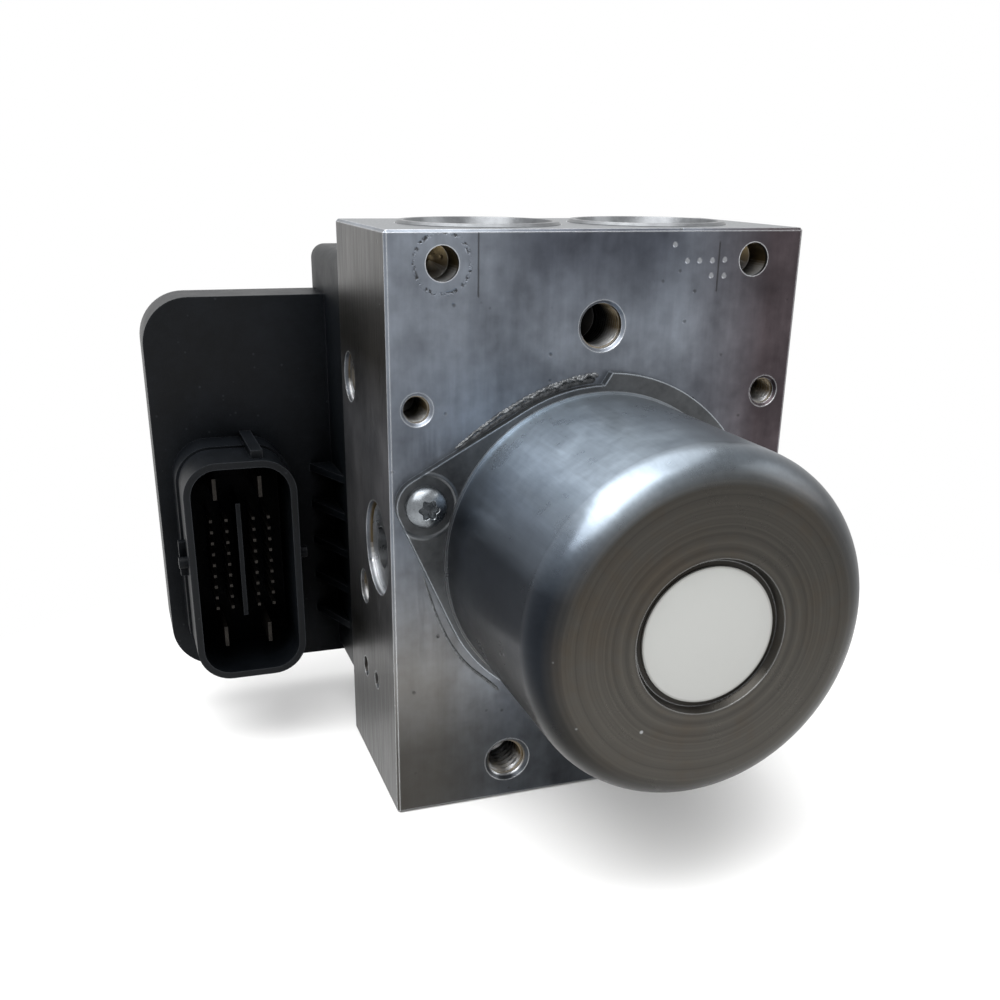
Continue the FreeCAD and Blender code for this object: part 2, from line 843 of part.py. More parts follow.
def make_pump(side):
    """One pump line along X: plug, sleeve, piston and its spring, measured outwards from the motor's axis."""
    where = ("0", "pump_place", "axis_height")
    face = side_face
    shoulder = "(block_width/2 - pump_mouth_depth)"
    spigot = "(block_width/2 - pump_mouth_depth - pump_plug_spigot)"
    radius = "pump_mouth_radius - seat_gap"
    outer = face + " - pump_plug_sink"
    recess = outer + " - pump_plug_recess_depth"
    turned("pump_plug_" + side,
           [("0", spigot), ("pump_bore_radius - seat_gap", spigot), ("pump_bore_radius - seat_gap", shoulder),
            (radius, shoulder), (radius, outer + " - pump_plug_edge"), (radius + " - pump_plug_edge", outer),
            ("pump_plug_recess_radius", outer), ("pump_plug_recess_radius", recess), ("0", recess)],
           *where, side)
    bore = "piston_radius + running_gap"
    floor = spigot + " - sleeve_floor"
    turned("pump_sleeve_" + side,
           [(bore, "sleeve_start"), ("pump_bore_radius - seat_gap", "sleeve_start"),
            ("pump_bore_radius - seat_gap", spigot), ("valve_passage_radius", spigot),
            ("valve_passage_radius", floor), (bore, floor)], *where, side)
    start = "(eccentric_ring_radius + eccentric_offset + piston_clearance)"
    end = start + " + piston_length"
    turned("pump_piston_" + side,
           [("0", start), ("piston_radius - piston_edge", start), ("piston_radius", start + " + piston_edge"),
            ("piston_radius", end), ("piston_pocket_radius", end),
            ("piston_pocket_radius", end + " - piston_pocket_depth"), ("0", end + " - piston_pocket_depth")],
           *where, side)
    spring("pump_spring_" + side, "piston_pocket_radius - pump_spring_wire - pump_spring_side_gap",
           "pump_spring_wire", end + " - piston_pocket_depth + spring_gap", floor + " - spring_gap", 5,
           where, side)


def make_accumulator(side):
    """One low pressure accumulator under the top face: cap, spring, piston and its ring."""
    across = "accumulator_pitch/2" if side == "right" else "-accumulator_pitch/2"
    where = (across, "0", "0")
    ledge = "(block_height - cap_depth)"
    radius = "(cap_radius - seat_gap)"
    spigot = "accumulator_radius - seat_gap"
    dish = "block_height - cap_dish_depth"
    rim = "block_height + cap_rim_rise"
    end = ledge + " - cap_spigot_depth"
    pocket = end + " + cap_pocket_depth"
    turned("accumulator_cap_" + side,
           [("0", pocket), ("cap_pocket_radius", pocket), ("cap_pocket_radius", end), (spigot, end),
            (spigot, ledge), (radius, ledge), (radius, rim + " - cap_rim_edge"),
            (radius + " - cap_rim_edge", rim), (radius + " - cap_rim_width", rim),
            (radius + " - cap_rim_width - cap_rim_slope", dish), ("0", dish)], *where)
    foot = "(block_height - accumulator_depth + accumulator_piston_rest)"
    wall = "accumulator_radius - running_gap"
    low, high = foot + " + ring_groove_rise", foot + " + ring_groove_rise + ring_groove_width"
    groove = wall + " - ring_groove_depth"
    top = foot + " + accumulator_piston_height"
    floor = foot + " + accumulator_piston_floor"
    turned("accumulator_piston_" + side,
           [("0", foot), (wall + " - accumulator_piston_edge", foot),
            (wall, foot + " + accumulator_piston_edge"), (wall, low), (groove, low), (groove, high),
            (wall, high), (wall, top),
            ("accumulator_piston_pocket", top), ("accumulator_piston_pocket", floor), ("0", floor)], *where)
    turned("accumulator_ring_" + side,
           [(groove + " + seat_gap", low + " + seat_gap"), (wall, low + " + seat_gap"),
            (wall, high + " - seat_gap"), (groove + " + seat_gap", high + " - seat_gap")], *where)
    spring("accumulator_spring_" + side, "cap_pocket_radius - 2*accumulator_spring_wire",
           "accumulator_spring_wire", floor + " + spring_gap", pocket + " - spring_gap", 5, where, "up",
           steps=14)


# The solenoid valves.

dome_end = "(block_depth/2 + dome_length)"
plunger_room = "(block_depth/2 + plunger_room_start)"


def make_valve_body(name, column, height):
    """A valve cartridge: nose and seat in the block, and a closed tube that its coil sits on."""
    nose = "(block_depth/2 - valve_depth)"
    tip = nose + " - valve_nose_length + valve_nose_gap"
    collar = "block_depth/2 - valve_collar"
    shell = "valve_radius - seat_gap"
    room = "dome_radius - dome_wall"
    return turned(name,
                  [("seat_radius", tip), ("valve_nose_radius - seat_gap", tip),
                   ("valve_nose_radius - seat_gap", nose), (shell, nose), (shell, collar),
                   ("dome_radius", "block_depth/2"), ("dome_radius", dome_end + " - dome_edge"),
                   ("dome_radius - dome_edge", dome_end), ("0", dome_end), ("0", dome_end + " - dome_wall"),
                   (room, dome_end + " - dome_wall - dome_inner_edge"), (room, plunger_room),
                   ("seat_mouth_radius", plunger_room), ("seat_radius", plunger_room + " - seat_depth")],
                  column, "0", height, "back")


def make_plunger(name, column, height, start):
    """The moving iron of a valve, with the stem that closes the seat."""
    tip = plunger_room + " - plunger_tip_reach"
    return turned(name,
                  [("0", tip), ("plunger_tip_radius", tip),
                   ("plunger_stem_radius", tip + " + plunger_tip_cone"),
                   ("plunger_stem_radius", start), ("plunger_radius", start),
                   ("plunger_radius", start + " + plunger_length"), ("0", start + " + plunger_length")],
                  column, "plunger_stroke" if name.startswith("inlet") else "0", height, "back")


def make_valves():
    springs = []
    inlet_start = plunger_room + " + inlet_plunger_start"
    outlet_start = plunger_room + " + outlet_plunger_start"
    for row, start in (("inlet", inlet_start), ("outlet", outlet_start)):
        bodies = []
        for number, column in enumerate(valve_columns, 1):
            height = row + "_valve_height"
            bodies.append(make_valve_body("%s_valve_%d" % (row, number), column, height))
            make_plunger("%s_plunger_%d" % (row, number), column, height, start)
            if row == "inlet":
                span = (plunger_room + " + spring_gap", start + " + plunger_stroke - spring_gap")
            else:
                span = (start + " + plunger_length + spring_gap",
                        dome_end + " - dome_wall - dome_inner_edge - spring_gap")
            springs.append(spring("%s_spring_%d" % (row, number),
                                  "dome_radius - dome_wall - 3*valve_spring_wire", "valve_spring_wire",
                                  *span, 3, (column, "0", height), "back", steps=8, sides=4))
        group(row + "_valves", bodies)
    group("valve_springs", springs)


def make_coils():
    """Eight coils on the valve tubes: plastic bobbins, copper windings and steel yokes."""
    bobbins, windings, yokes = [], [], []
    start = "(block_depth/2 + coil_start)"
    end = "(block_depth/2 + coil_start + coil_length)"
    inner = "dome_radius + face_gap"
    core = "(dome_radius + face_gap + bobbin_wall)"
    near, far = "coil_radius + seat_gap", "coil_radius + seat_gap + yoke_wall"
    for row in ("inlet", "outlet"):
        for number, column in enumerate(valve_columns, 1):
            where = (column, "0", row + "_valve_height", "back")
            name = "%s_%d" % (row, number)
            low, high = start + " + bobbin_flange", end + " - bobbin_flange"
            bobbins.append(turned("bobbin_" + name,
                                  [(inner, start), ("coil_radius", start), ("coil_radius", low), (core, low),
                                   (core, high), ("coil_radius", high), ("coil_radius", end), (inner, end)],
                                  *where))
            windings.append(turned("winding_" + name,
                                   [(core + " + seat_gap", low + " + seat_gap"),
                                    ("coil_radius - winding_inset", low + " + seat_gap"),
                                    ("coil_radius - winding_inset", high + " - seat_gap"),
                                    (core + " + seat_gap", high + " - seat_gap")], *where))
            sleeve = [(near, start), (far, start), (far, end), (near, end)]
            yokes.append(turned("yoke_" + name, sleeve, *where))
    group("coil_bobbins", bobbins)
    group("coil_windings", windings)
    group("coil_yokes", yokes)


# The pump motor. Its pieces turn about Y, so a place along the axis is a place along Y.

motor_place = ("0", "0", "axis_height", "back")
plate_front = "(-block_depth/2 - flange_thickness)"
can_end = "(-block_depth/2 - flange_thickness - can_length)"
dish_floor = "(-block_depth/2 - flange_thickness - can_length + can_dish_depth)"


def behind_block(distance):
    """A place on the motor's axis, given as a distance in front of the block's front face."""
    return "(-block_depth/2 - %s)" % distance


def ear_outline(sign, spread="0"):
    """The two straight flanks from an ear to the round plate, tangent to both, moved outwards by a spread."""
    reach = "sqrt(ear_out^2 + ear_rise^2)"
    lean = "acos((flange_radius - ear_radius)/%s)" % reach
    aim = "(180 * 1 deg - atan(ear_rise/ear_out))" if sign == "-" else "(-atan(ear_rise/ear_out))"
    ear = left_ear if sign == "-" else right_ear
    spots = []
    for centre, radius, side in ((motor_axis, "flange_radius", "+"), (ear, "ear_radius", "+"),
                                 (ear, "ear_radius", "-"), (motor_axis, "flange_radius", "-")):
        angle = "(%s %s %s)" % (aim, side, lean)
        spots.append(("%s + (%s + %s)*cos(%s)" % (centre[0], radius, spread, angle),
                      "%s + (%s + %s)*sin(%s)" % (centre[1], radius, spread, angle)))
    return spots


lobe_reach = "2*flange_lobe_radius"


def lobe_end(gap):
    """What lies left of the lobe's sloping end, a gap further left."""
    low = "flange_lobe_start - flange_lobe_slope - " + gap
    high = "flange_lobe_start + flange_lobe_slope - " + gap
    return [("-" + lobe_reach, "axis_height - " + lobe_reach), (low, "axis_height - " + lobe_reach),
            (low, "axis_height + flange_radius - flange_lobe_slope"),
            (high, "axis_height + flange_radius + 2*flange_lobe_slope"),
            (high, "axis_height + " + lobe_reach), ("-" + lobe_reach, "axis_height + " + lobe_reach)]


def make_flange():
    """The motor's end plate: a round plate with two ears and a lobe, a pilot boss and a bearing seat."""
    body = new_body("motor_flange")
    raise_rounds(body, "flange_lobe", "front", front_face, "flange_thickness", [motor_axis],
                 "flange_lobe_radius")
    sink_outline(body, "flange_lobe_end", "front", plate_front, "flange_thickness", lobe_end("0"))
    sink_outline(body, "flange_lobe_side", "front", plate_front, "flange_thickness",
                 rectangle("-flange_radius", lobe_reach, "axis_height - " + lobe_reach,
                           "axis_height + flange_lobe_foot"))
    raise_rounds(body, "flange_plate", "front", front_face, "flange_thickness", [motor_axis], "flange_radius")
    raise_rounds(body, "flange_ears", "front", front_face, "flange_thickness", [left_ear, right_ear],
                 "ear_radius")
    for sign in ("-", "+"):
        raise_outline(body, "flange_web_" + ("left" if sign == "-" else "right"), "front", front_face,
                      "flange_thickness", ear_outline(sign))
    raise_rounds(body, "flange_boss", "back", front_face, "pilot_depth", [motor_axis],
                 "pilot_radius - seat_gap")
    sink_rounds(body, "bearing_seat", "front", plate_front, "bearing_width", [motor_axis],
                "bearing_radius + seat_gap")
    sink_rounds(body, "flange_eye", "front", plate_front, "flange_thickness + pilot_depth", [motor_axis],
                "bearing_radius - bearing_race")
    sink_rounds(body, "flange_screw_holes", "front", plate_front, "flange_thickness", [left_ear, right_ear],
                "motor_screw_radius + face_gap")
    sink_rounds(body, "flange_contact_hole", "front", plate_front, "flange_thickness",
                [("contact_out", "contact_height")], "contact_radius + seat_gap")


def make_can():
    """The deep-drawn motor can: a rounded end, a shallow dish for the label and a seat for the rear bush."""
    body = new_body("motor_can")
    wall = "can_radius - can_wall"
    inner_end = can_end + " + can_wall"
    dish_back = dish_floor + " + can_wall"
    collar = "shaft_radius + running_gap + rear_bush_wall + seat_gap"
    collar_end = dish_back + " + rear_bush_length"
    turn = revolve(body, "can", [
        ("can_foot_radius", plate_front), ("can_foot_radius", plate_front + " - can_foot_height"),
        ("can_foot_radius - can_foot_lip", plate_front + " - can_foot_height"), ("can_radius", can_end),
        ("can_dish_radius + can_dish_bevel", can_end), ("can_dish_radius", dish_floor), ("0", dish_floor),
        ("0", dish_back), (collar, dish_back), (collar, collar_end), (collar + " + can_wall", collar_end),
        (collar + " + can_wall", dish_back), ("can_dish_radius", dish_back),
        ("can_dish_radius + can_dish_back", inner_end), (wall, inner_end), (wall, plate_front)])
    outer, inner = value("can_radius"), value(wall)
    ends = (value(can_end), value(inner_end))

    def is_rim(edge, radius, level):
        round_edge = hasattr(edge.Curve, "Radius") and abs(edge.Curve.Radius - radius) < 0.01
        return round_edge and abs(edge.BoundBox.ZMax - level) < 0.01

    corner = dress(body, "Fillet", "can_corner_outside", turn,
                   edge_names(turn.Shape, lambda edge: is_rim(edge, outer, ends[0])), "can_corner")
    dress(body, "Fillet", "can_corner_inside", corner,
          edge_names(corner.Shape, lambda edge: is_rim(edge, inner, ends[1])), "can_corner - can_wall")
    place(body, *motor_place)


def make_motor_fixed():
    """What stands still in the motor: magnets, bearings and the blank label."""
    magnets = new_body("magnets")
    outer = "(can_radius - can_wall - seat_gap)"
    first, last = behind_block("magnet_start"), behind_block("(magnet_start + magnet_length)")
    one = revolve(magnets, "magnet", [(outer + " - magnet_thickness", last), (outer, last), (outer, first),
                                      (outer + " - magnet_thickness", first)], "magnet_angle")
    ring_of(magnets, "magnet_ring", [one], "Z_Axis", "magnet_count")
    place(magnets, *motor_place)
    bush = "shaft_radius + running_gap"
    bush_end = dish_floor + " + can_wall"
    turned("rear_bush", [(bush, bush_end), (bush + " + rear_bush_wall", bush_end),
                         (bush + " + rear_bush_wall", bush_end + " + rear_bush_length - face_gap"),
                         (bush, bush_end + " + rear_bush_length - face_gap")], *motor_place)
    seat_end = plate_front + " + bearing_width"
    race = "bearing_radius - bearing_race"
    turned("front_bearing_outer", [(race, plate_front), ("bearing_radius", plate_front),
                                   ("bearing_radius", seat_end), (race, seat_end)], *motor_place)
    tail_end = "(-block_depth/2 + end_bearing_depth)"
    near, far = "tail_radius + running_gap", "end_bearing_radius - seat_gap"
    tail_start = tail_end + " - end_bearing_width"
    turned("end_bearing", [(near, tail_start), (far, tail_start), (far, tail_end), (near, tail_end)],
           *motor_place)
    label_front = dish_floor + " - label_thickness"
    turned("motor_label", [("0", label_front), ("label_radius", label_front), ("label_radius", dish_floor),
                           ("0", dish_floor)], *motor_place)


def make_bead():
    """The bead of sealant along the plate's upper left edge, from the left ear's flank to the lobe."""
    body = new_body("sealing_bead")
    bead_front = front_face + " - bead_height"
    raise_rounds(body, "bead_round", "front", front_face, "bead_height", [motor_axis],
                 "flange_radius + bead_width")
    raise_outline(body, "bead_flank", "front", front_face, "bead_height", ear_outline("-", "bead_width"))
    sink_rounds(body, "bead_round_bed", "front", bead_front, "bead_height", [motor_axis],
                "flange_radius + seat_gap")
    sink_outline(body, "bead_flank_bed", "front", bead_front, "bead_height", ear_outline("-", "seat_gap"))
    sink_outline(body, "bead_low_end", "front", bead_front, "bead_height",
                 rectangle("-" + lobe_reach, lobe_reach, "axis_height - " + lobe_reach,
                           "axis_height + bead_foot"))
    sink_outline(body, "bead_high_end", "front", bead_front, "bead_height",
                 rectangle("flange_lobe_start - flange_lobe_slope - seat_gap", lobe_reach,
                           "axis_height", "axis_height + " + lobe_reach))


def make_motor_screws():
    """Two round-headed screws: the head's outline is a quarter of an ellipse on a short foot."""
    screws = []
    head = plate_front + " - motor_screw_head_height"
    crown = "(motor_screw_head_height - motor_screw_head_foot)"
    end = "-block_depth/2 + motor_screw_depth - motor_screw_tip_gap"
    dome = []
    for angle in (35, 50, 65, 80, 90):
        dome.append(("motor_screw_head*sin(%d deg)" % angle,
                     "%s + %s*(1 - cos(%d deg))" % (head, crown, angle)))
    for name, (across, up) in (("left", left_ear), ("right", right_ear)):
        screws.append(turned("motor_screw_" + name, [
            ("0", head + " + drive_recess_depth"), ("drive_recess_radius", head + " + drive_recess_depth"),
            *dome, ("motor_screw_head", plate_front), ("motor_screw_radius", plate_front),
            ("motor_screw_radius", end + " - motor_screw_point"),
            ("motor_screw_radius - motor_screw_point", end), ("0", end)], across, "0", up, "back"))
    group("motor_screws", screws)


def make_brush_gear():
    """The plastic brush holder on the end plate, its two carbon brushes and their springs."""
    body = new_body("brush_holder")
    raise_rounds(body, "holder_plate", "front", plate_front, "holder_plate", [motor_axis], "holder_radius")
    sink_rounds(body, "holder_eye", "front", plate_front + " - holder_plate", "holder_plate", [motor_axis],
                "holder_eye_radius")
    plate = plate_front + " - holder_plate"
    rear = "(commutator_radius + guide_start_gap)"
    half = "(brush_width/2 + seat_gap)"
    height = "brush_height + seat_gap + guide_wall"
    for side, sign in (("left", "-"), ("right", "")):
        near, far = sign + rear, sign + "guide_reach"
        low, high = "axis_height - %s - guide_wall" % half, "axis_height + %s + guide_wall" % half
        raise_outline(body, side + "_guide", "front", plate, height, rectangle(near, far, low, high))
        sink_outline(body, side + "_channel", "front", plate + " - (brush_height + seat_gap)",
                     "brush_height + seat_gap",
                     rectangle(near, sign + "(guide_reach - guide_wall)", "axis_height - " + half,
                               "axis_height + " + half))
        brush = new_body("brush_" + side)
        start = "(commutator_radius + brush_gap)"
        raise_outline(brush, side + "_brush_section", "front", plate, "brush_height",
                      rectangle(sign + start, "%s(%s + brush_length)" % (sign, start),
                                "axis_height - brush_width/2", "axis_height + brush_width/2"))
    coils = []
    for side in ("left", "right"):
        coils.append(spring("brush_coil_" + side, "brush_width/2 - 3*brush_spring_wire", "brush_spring_wire",
                            "commutator_radius + brush_gap + brush_length + spring_gap",
                            "guide_reach - guide_wall - spring_gap", 4,
                            ("0", plate + " - brush_height/2", "axis_height"), side, steps=8, sides=4))
    group("brush_springs", coils)
    floor = "wing_front + tray_floor"
    turned("motor_contact", [
        ("0", plate_front), ("contact_radius", plate_front), ("contact_radius", floor),
        ("contact_pin_radius", floor), ("contact_pin_radius", floor + " + post_height"),
        ("0", floor + " + post_height")], "contact_out", "0", "contact_height", "back")


def make_shaft():
    """The motor shaft: long journal, an eccentric for the two pumps and a tail in the block's end bearing."""
    body = new_body("motor_shaft")
    rear = dish_floor + " + can_wall + shaft_end_gap"
    neck = "(pump_place - eccentric_width/2 - eccentric_step)"
    tail = "(pump_place + eccentric_width/2 + eccentric_step)"
    end = "-block_depth/2 + end_bearing_depth - tail_end_gap"
    revolve(body, "shaft", [
        ("0", rear), ("shaft_radius - shaft_edge", rear), ("shaft_radius", rear + " + shaft_edge"),
        ("shaft_radius", tail), ("tail_radius", tail), ("tail_radius", end + " - tail_edge"),
        ("tail_radius - tail_edge", end), ("0", end)])
    raise_rounds(body, "eccentric", "top", neck, "eccentric_width + 2*eccentric_step",
                 [("0", "-eccentric_offset")], "eccentric_radius")
    place(body, *motor_place)


def make_rotor():
    """What turns with the shaft: core, winding, commutator, inner race, balls and eccentric ring."""
    core = new_body("armature_core")
    start, length = behind_block("(core_start + core_length)"), "core_length"
    raise_rounds(core, "core_disc", "top", start, length, [("0", "0")], "core_radius")
    sink_rounds(core, "core_bore", "top", start + " + core_length", length, [("0", "0")],
                "shaft_radius + press_gap")
    throat = rectangle("-slot_mouth/2", "slot_mouth/2", "slot_top_radius - slot_mouth_lap",
                       "core_radius + slot_mouth_lap")
    mouth = sink_outline(core, "slot_mouth_cut", "top", start + " + core_length", length, throat)
    trough = [("-slot_root_width/2", "slot_root_radius"), ("slot_root_width/2", "slot_root_radius"),
              ("slot_top_width/2", "slot_top_radius"), ("-slot_top_width/2", "slot_top_radius")]
    pocket = sink_outline(core, "slot_pocket_cut", "top", start + " + core_length", length, trough)
    ring_of(core, "core_slots", [mouth, pocket], "Z_Axis", "slot_count")
    place(core, *motor_place)
    make_winding(start)
    make_commutator()
    inner_end = plate_front + " + bearing_width"
    turned("front_bearing_inner",
           [("shaft_radius + press_gap", plate_front), ("shaft_radius + bearing_race", plate_front),
            ("shaft_radius + bearing_race", inner_end), ("shaft_radius + press_gap", inner_end)], *motor_place)
    make_balls()
    near, far = "pump_place - eccentric_width/2", "pump_place + eccentric_width/2"
    ring = turned("eccentric_ring", [
        ("eccentric_radius + press_gap", near), ("eccentric_ring_radius - eccentric_ring_edge", near),
        ("eccentric_ring_radius", near + " + eccentric_ring_edge"),
        ("eccentric_ring_radius", far + " - eccentric_ring_edge"),
        ("eccentric_ring_radius - eccentric_ring_edge", far), ("eccentric_radius + press_gap", far)])
    place(ring, "0", "0", "axis_height + eccentric_offset", "back")


def make_winding(start):
    """Copper in each slot, joined by a ring of end turns at both ends of the core."""
    winding = new_body("armature_winding")
    end = start + " + core_length"
    low, high = "slot_root_radius", "slot_top_radius"
    bar = [("-slot_root_width/2 + slot_liner", low + " + slot_liner"),
           ("slot_root_width/2 - slot_liner", low + " + slot_liner"),
           ("slot_top_width/2 - 2*slot_liner", high + " - slot_liner"),
           ("-slot_top_width/2 + 2*slot_liner", high + " - slot_liner")]
    first = raise_outline(winding, "slot_copper", "top", start + " - copper_out",
                          "core_length + 2*copper_out", bar)
    ring_of(winding, "slot_coppers", [first], "Z_Axis", "slot_count")
    for name, near, step in (("rear", start, "-"), ("front", end, "+")):
        base = "%s %s end_turn_gap" % (near, step)
        slope = "%s %s end_turn_shoulder" % (near, step)
        top = "%s %s end_turn_height" % (near, step)
        revolve(winding, name + "_end_turns", [
            (low, base), (high, base), (high + " + end_turn_bulge", slope),
            (high + " - end_turn_top_in", top), (low + " + end_turn_root_out", top), (low, slope)])
    place(winding, *motor_place)


def make_commutator():
    body = new_body("commutator")
    start = behind_block("(commutator_start + commutator_length)")
    raise_rounds(body, "commutator_drum", "top", start, "commutator_length", [("0", "0")],
                 "commutator_radius")
    sink_rounds(body, "commutator_bore", "top", start + " + commutator_length", "commutator_length",
                [("0", "0")], "shaft_radius + press_gap")
    slit = sink_outline(body, "commutator_slit_cut", "top", start + " + commutator_length",
                        "commutator_length",
                        rectangle("-commutator_slit/2", "commutator_slit/2",
                                  "commutator_radius - commutator_slit_depth",
                                  "commutator_radius + slot_mouth_lap"))
    ring_of(body, "commutator_slits", [slit], "Z_Axis", "slot_count")
    place(body, *motor_place)


def make_balls():
    """The balls of the front bearing, with a small running gap to both races."""
    body = new_body("front_bearing_balls")
    middle = plate_front + " + bearing_width/2"
    track = "((shaft_radius + bearing_radius)/2)"
    radius = "((bearing_radius - shaft_radius)/2 - bearing_race - running_gap)"
    ball = body.newObject("PartDesign::AdditiveSphere", "ball")
    bind(ball, "Radius", radius)
    bind(ball, "AttachmentOffset.Base.x", track)
    plane = [item for item in body.Origin.OriginFeatures if item.Role == "XY_Plane"][0]
    ball.AttachmentSupport = [(plane, "")]
    ball.MapMode = "FlatFace"
    bind(ball, "AttachmentOffset.Base.z", middle)
    body.Tip = ball
    doc.recompute()
    ring_of(body, "balls", [ball], "Z_Axis", "ball_count")
    place(body, *motor_place)


# The control unit.

case_half = "coil_case_width/2"
tray_rear = "(wing_front + tray_depth)"
shroud_middle = "((shroud_left + shroud_right)/2)"
shroud_centre = "((shroud_foot + shroud_top)/2)"


def unit_outline(inset="0"):
    """The tray's outline seen from the front: the wide wing at the left, the taller part behind the block."""
    left, right = "wing_end + %s" % inset, "%s - %s" % (case_half, inset)
    low, wing_high, high = "coil_case_foot + " + inset, "wing_top - " + inset, "coil_case_top - " + inset
    step = "-%s + %s" % (case_half, inset)
    return [(left, low), (right, low), (right, high), (step, high), (step, wing_high), (left, wing_high)]


def unit_radii(inset="0"):
    """The corner radii that go with unit_outline; the inner corner beside the wing stays sharp."""
    wing, case = "wing_corner - " + inset, "coil_case_corner - " + inset
    return [wing, case, case, case, None, wing]


def make_housing():
    """The moulded housing: coil case, tray with its wing, plug shroud, gussets, columns and board posts."""
    body = new_body("ecu_housing")
    raise_outline(body, "coil_case", "back", back_face, "wing_front - block_depth/2", ring_outline("0"),
                  ["coil_case_corner"] * 4)
    raise_outline(body, "tray", "back", "wing_front", "tray_depth", unit_outline(), unit_radii())
    sink_outline(body, "coil_room", "front", back_face, "wing_front - block_depth/2",
                 ring_outline("coil_case_wall"))
    sink_outline(body, "board_room", "back", tray_rear, "tray_depth - tray_floor", unit_outline("tray_wall"),
                 unit_radii("tray_wall"))
    make_shroud(body)
    make_gussets(body)
    make_columns(body)
    cut_gasket_groove(body)


def shroud_outline(spread):
    return rectangle("shroud_left - " + spread, "shroud_right + " + spread, "shroud_foot - " + spread,
                     "shroud_top + " + spread)


def make_shroud(body):
    skirt_start = "(wing_front - shroud_skirt_length)"
    for name, start, spread in (("shroud", "shroud_rim", "0"), ("skirt", skirt_start, "shroud_skirt")):
        raise_outline(body, name, "front", "wing_front", "wing_front - %s" % start, shroud_outline(spread),
                      ["shroud_corner + " + spread] * 4)
    raise_outline(body, "key", "front", "wing_front", "wing_front - key_start",
                  rectangle("key_place - key_width/2", "key_place + key_width/2", "shroud_top - shroud_wall/2",
                            "shroud_top + key_rise"))
    for side, level in (("left", "shroud_left"), ("right", "shroud_right")):
        raise_rounds(body, side + "_peg", side, level, "peg_length", [("peg_place", "peg_height")],
                     "peg_radius")
    raise_outline(body, "peg_bar", "left", "shroud_left", "peg_bar_rise",
                  rectangle("peg_place + 2*peg_radius", "peg_place + 2*peg_radius + peg_bar_width",
                            "peg_height - peg_bar_height/2", "peg_height + peg_bar_height/2"))
    sink_outline(body, "socket", "front", "shroud_rim", "wing_front - shroud_rim - tray_floor",
                 shroud_outline("(-shroud_wall)"), ["shroud_corner - shroud_wall"] * 4)
    raise_outline(body, "divider", "front", "wing_front - tray_floor", "divider_length",
                  rectangle(shroud_middle + " - divider_width/2", shroud_middle + " + divider_width/2",
                            shroud_centre + " - divider_height/2", shroud_centre + " + divider_height/2"))


def make_gussets(body):
    drawing = sketch(body, "gusset", "top", "rib_first - rib_thickness/2")
    root = "-%s + rib_root" % case_half
    outline(drawing, "top", [(root, "rib_start"), ("-" + case_half, "rib_start"),
                             ("-%s - rib_out" % case_half, "wing_front"), (root, "wing_front")])
    first = grow(body, drawing, "rib_thickness")
    row_of(body, "gussets", [first], "Z_Axis", "rib_pitch", "rib_count", backwards=True)


def make_columns(body):
    """Columns for the four long screws, and short posts that carry the circuit board."""
    raise_rounds(body, "screw_columns", "back", back_face, "%s - block_depth/2" % tray_rear,
                 unit_screw_spots(), "column_radius")
    raise_rounds(body, "board_posts", "back", "wing_front + tray_floor", "post_height", post_spots(),
                 "post_radius")
    sink_rounds(body, "screw_bores", "back", tray_rear, "%s - block_depth/2" % tray_rear, unit_screw_spots(),
                "unit_screw_radius + face_gap")
    sink_rounds(body, "contact_bore", "front", "wing_front", "tray_floor", [("contact_out", "contact_height")],
                "contact_radius + seat_gap")


def post_spots():
    return [(across, up) for across in ("wing_end + post_from_wing", case_half + " - post_from_case")
            for up in ("coil_case_foot + post_from_end", "wing_top - post_from_end")]


def ring_outline(inset):
    return rectangle("-%s + %s" % (case_half, inset), "%s - %s" % (case_half, inset),
                     "coil_case_foot + " + inset, "coil_case_top - " + inset)


def cut_gasket_groove(body):
    drawing = sketch(body, "gasket_groove", "front", back_face)
    outline(drawing, "front", ring_outline("gasket_inset"))
    outline(drawing, "front", ring_outline("(gasket_inset + gasket_width)"))
    cut(body, drawing, "gasket_groove_depth")


def make_gasket():
    body = new_body("ecu_gasket")
    drawing = sketch(body, "gasket_section", "back", back_face)
    outline(drawing, "back", ring_outline("(gasket_inset + seat_gap)"))
    outline(drawing, "back", ring_outline("(gasket_inset + gasket_width - seat_gap)"))
    grow(body, drawing, "gasket_groove_depth")


def make_lid():
    """The welded lid, with a raised field and round windows for the four screw heads."""
    body = new_body("ecu_lid")
    raise_outline(body, "lid_plate", "back", tray_rear, "lid_thickness", unit_outline(), unit_radii())
    rear = tray_rear + " + lid_thickness"
    inset = "lid_field_inset"
    raise_outline(body, "lid_field", "back", rear, "lid_field_rise",
                  rectangle("wing_end + " + inset, "screw_place - unit_screw_head - lid_field_side",
                            "coil_case_foot + lid_field_foot", "wing_top - " + inset))
    sink_rounds(body, "screw_windows", "back", rear, "lid_thickness", unit_screw_spots(),
                "unit_screw_head + screw_window_gap")


board_top = "wing_top - board_drop"
chip = "controller_side"
packages = {  # place, width, height and rise of each package
    "controller": ("-controller_out", board_top + " - 22", chip, chip, "package_rise"),
    "driver": ("2*controller_out", board_top + " - 26", "0.75*" + chip, "0.55*" + chip, "1.2*package_rise"),
    "regulator": ("-5*controller_out", board_top, "0.5*" + chip, "0.6*" + chip, "1.4*package_rise"),
    "relay": ("-3.75*controller_out", "coil_case_foot + 21", "0.9*" + chip, "0.75*" + chip, "capacitor_rise"),
    "sensor": ("shroud_right - 6", "coil_case_foot + 17", "0.4*" + chip, "0.4*" + chip, "0.9*package_rise"),
    "resistors": ("controller_out", board_top, "1.4*" + chip, "0.25*" + chip, "0.6*package_rise"),
}
capacitor_spots = [("shroud_right - 4", board_top), ("shroud_right - 4", board_top + " - 12"),
                   ("2.5*controller_out", "coil_case_foot + 19")]


